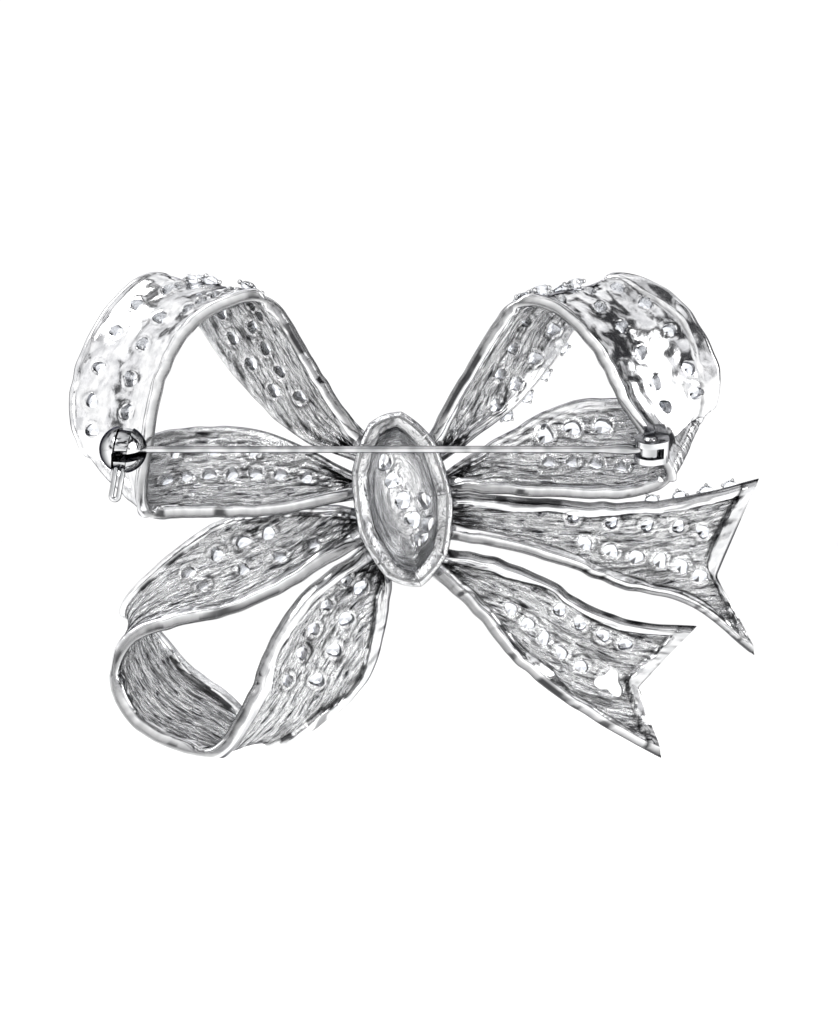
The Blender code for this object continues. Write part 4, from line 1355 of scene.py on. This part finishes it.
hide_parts("hinge_yoke")
print("hinge is", round(2 * CHEEK_OUTSIDE, 2), "mm wide over its cheeks")


# %% [markdown]
# The rivet is a plain shaft whose two ends are hammered into low domed heads. The heads are cones here,
# wide side towards the cheeks, and the bevel rounds them off.

# %% Hinge rivet
RIVET_RADIUS = 0.4
HEAD_WIDE = 0.75
HEAD_NARROW = 0.5
HEAD_LOW = CHEEK_OUTSIDE + 0.02
HEAD_HIGH = CHEEK_OUTSIDE + 0.27
shaft = round_bar(RIVET_RADIUS, -CHEEK_OUTSIDE - 0.05, CHEEK_OUTSIDE + 0.05)
rivet = metal_body("hinge_rivet_polished", shaft, hinge_axes)
shape_with(rivet, [
    ("UNION", round_bar(HEAD_WIDE, HEAD_LOW, HEAD_HIGH, HEAD_NARROW), hinge_axes),
    ("UNION", round_bar(HEAD_NARROW, -HEAD_HIGH, -HEAD_LOW, HEAD_WIDE), hinge_axes),
], 0.05, FINDING)
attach(rivet, "bow")
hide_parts("hinge_rivet")
print("rivet is", round(2 * HEAD_HIGH, 2), "mm long over its heads")


# %% [markdown]
# The pin is one piece of hard wire. One end is beaten into a flat neck and pierced for the rivet, the
# other is ground to a point. Its silhouette is a list of half heights and half depths along the wire,
# turned into rings of points.

# %% Pin stem
STEM_RADIUS = 0.35
STEM_LENGTH = 52.3
EYE_RADIUS = 1.1
EYE_BORE = 0.45
RING = 40


def tube(name, stops, axes):
    """A tube along X through (x, half height, half depth) stops, closed at both ends."""
    turn = np.linspace(0.0, 2 * math.pi, RING, endpoint=False)
    points = []
    for x, height, depth in stops:
        points += [(x * MM, height * MM * math.cos(a), depth * MM * math.sin(a)) for a in turn]
    faces = [list(range(RING))[::-1]]
    for stop in range(len(stops) - 1):
        base = stop * RING
        faces += [[base + i, base + (i + 1) % RING, base + RING + (i + 1) % RING, base + RING + i]
                  for i in range(RING)]
    faces.append([(len(stops) - 1) * RING + i for i in range(RING)])
    mesh = bpy.data.meshes.new(name)
    mesh.from_pydata(points, [], faces)
    mesh.transform(axes)
    body = bpy.data.objects.new(name, mesh)
    bpy.context.scene.collection.objects.link(body)
    return body


neck = [(0.75, 0.55, 0.42), (1.6, 0.55, 0.44), (2.2, 0.50, 0.58), (3.2, 0.42, 0.52), (4.2, 0.37, 0.40),
        (5.0, STEM_RADIUS, STEM_RADIUS)]
point = [(3.0, 1.0), (1.8, 0.86), (0.9, 0.60), (0.3, 0.30), (0.0, 0.10)]
ground = [(STEM_LENGTH - back, STEM_RADIUS * share, STEM_RADIUS * share) for back, share in point]
stem = tube("pin_stem_drawn", neck + ground, hinge_axes)
shape_with(stem, [
    ("UNION", round_bar(EYE_RADIUS, -EYE_THICKNESS / 2, EYE_THICKNESS / 2), hinge_axes),
    ("DIFFERENCE", round_bar(EYE_BORE, -THROUGH, THROUGH), hinge_axes),
], 0.05, WIRE)
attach(stem, "pin")
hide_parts("pin_stem")
print("pin is", STEM_LENGTH, "mm long from its pivot")


# %% [markdown]
# The safety catch is a ball on a post. A cutter has milled a slot through it for the rotor, and a mouth
# that lets the pin in. The post stands on the ribbon and is one turned piece with the ball.

# %% Catch housing
BALL_RADIUS = 2.35
BALL_LEAN = math.radians(-10.0)
POST_RADIUS = 1.35
POST_FOOT = -6.3
SLOT_RADIUS = 2.0
SLOT_HALF_WIDTH = 0.72
SLOT_FLOOR = -0.9
MOUTH_HALF_WIDTH = 0.43
MOUTH_END = 0.9
POST_TURN = Matrix.Rotation(-math.pi / 2, 4, "X")
QUARTER_TURN = Matrix.Rotation(math.pi / 2, 4, "Y")
catch_axes = Matrix.Translation((CATCH_X * MM, 0.0, 0.0)) @ Matrix.Rotation(BALL_LEAN, 4, "Y")
mouth_axes = swing_axes(CATCH_X)


def ball(shape):
    bmesh.ops.create_uvsphere(shape, u_segments=SIDES, v_segments=SIDES // 2, radius=BALL_RADIUS)


housing = metal_body("catch_housing_polished", ball, catch_axes @ QUARTER_TURN)
slot_low = (-SLOT_HALF_WIDTH, SLOT_FLOOR, -THROUGH)
slot_high = (SLOT_HALF_WIDTH, THROUGH, THROUGH)
mouth_low = (-THROUGH, 0.0, -MOUTH_HALF_WIDTH)
mouth_high = (MOUTH_END, THROUGH + 1.0, MOUTH_HALF_WIDTH)
shape_with(housing, [
    ("UNION", round_bar(POST_RADIUS, POST_FOOT, -BALL_RADIUS + 0.5), catch_axes @ POST_TURN),
    ("DIFFERENCE", round_bar(SLOT_RADIUS, -SLOT_HALF_WIDTH, SLOT_HALF_WIDTH), catch_axes @ QUARTER_TURN),
    ("DIFFERENCE", square_bar(slot_low, slot_high), catch_axes),
    ("DIFFERENCE", round_bar(MOUTH_HALF_WIDTH, -THROUGH, MOUTH_END), mouth_axes @ QUARTER_TURN),
    ("DIFFERENCE", square_bar(mouth_low, mouth_high), mouth_axes),
], 0.07, FINDING)
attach(housing, "bow")
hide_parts("catch_housing")
print("catch ball is", 2 * BALL_RADIUS, "mm across")


# %% [markdown]
# The rotor is a disc that turns inside the ball. It has the same mouth as the ball, a little wider, so the
# pin drops in when the two mouths line up and is held when the rotor is turned away.

# %% Catch rotor
ROTOR_RADIUS = 1.9
ROTOR_HALF_WIDTH = 0.6
ROTOR_BORE = 0.6
disc = round_bar(ROTOR_RADIUS, -ROTOR_HALF_WIDTH, ROTOR_HALF_WIDTH)
rotor = metal_body("catch_rotor_polished", disc, catch_axes @ QUARTER_TURN)
rotor_mouth = square_bar((-THROUGH, 0.0, -ROTOR_BORE), (THROUGH, THROUGH + 1.0, ROTOR_BORE))
shape_with(rotor, [
    ("DIFFERENCE", round_bar(ROTOR_BORE, -THROUGH, THROUGH), mouth_axes @ QUARTER_TURN),
    ("DIFFERENCE", rotor_mouth, mouth_axes),
], 0.05, FINDING)
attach(rotor, "rotor")
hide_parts("catch_rotor")
print("rotor is", 2 * ROTOR_HALF_WIDTH, "mm thick")


# %% [markdown]
# The thumb lever is a hairpin of wire whose two legs are soldered into the rotor. A curve with a round
# bevel is exactly a bent wire, and turning it into a mesh at once keeps it a plain piece like the rest.

# %% Thumb lever
LEVER_WIRE = 0.26
LEVER_SPREAD = 0.36
LEVER_LENGTH = 4.65
BEND_STEPS = 17


def hairpin(name):
    path = bpy.data.curves.new(name, "CURVE")
    path.dimensions = "3D"
    path.bevel_depth = LEVER_WIRE * MM
    path.bevel_resolution = 8
    path.use_fill_caps = True
    turns = np.linspace(math.pi, 2 * math.pi, BEND_STEPS)
    bend = [(LEVER_SPREAD * math.cos(a), LEVER_SPREAD * math.sin(a) - LEVER_LENGTH) for a in turns]
    route = [(-LEVER_SPREAD, -1.0)] + bend + [(LEVER_SPREAD, -1.0)]
    wire = path.splines.new("POLY")
    wire.points.add(len(route) - 1)
    for place, (x, z) in zip(wire.points, route):
        place.co = (x * MM, 0.0, z * MM, 1.0)
    path.materials.append(FINDING)
    lever = bpy.data.objects.new(name, path)
    bpy.context.scene.collection.objects.link(lever)
    bpy.context.view_layer.update()
    mesh = bpy.data.meshes.new_from_object(lever.evaluated_get(bpy.context.evaluated_depsgraph_get()))
    bpy.data.objects.remove(lever)
    mesh.transform(catch_axes)
    mesh.shade_smooth()
    body = bpy.data.objects.new(name, mesh)
    bpy.context.scene.collection.objects.link(body)
    return body


lever = hairpin("catch_lever_wire")
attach(lever, "rotor")
print("lever reaches", round(LEVER_LENGTH + LEVER_SPREAD + LEVER_WIRE, 2), "mm from the pin")
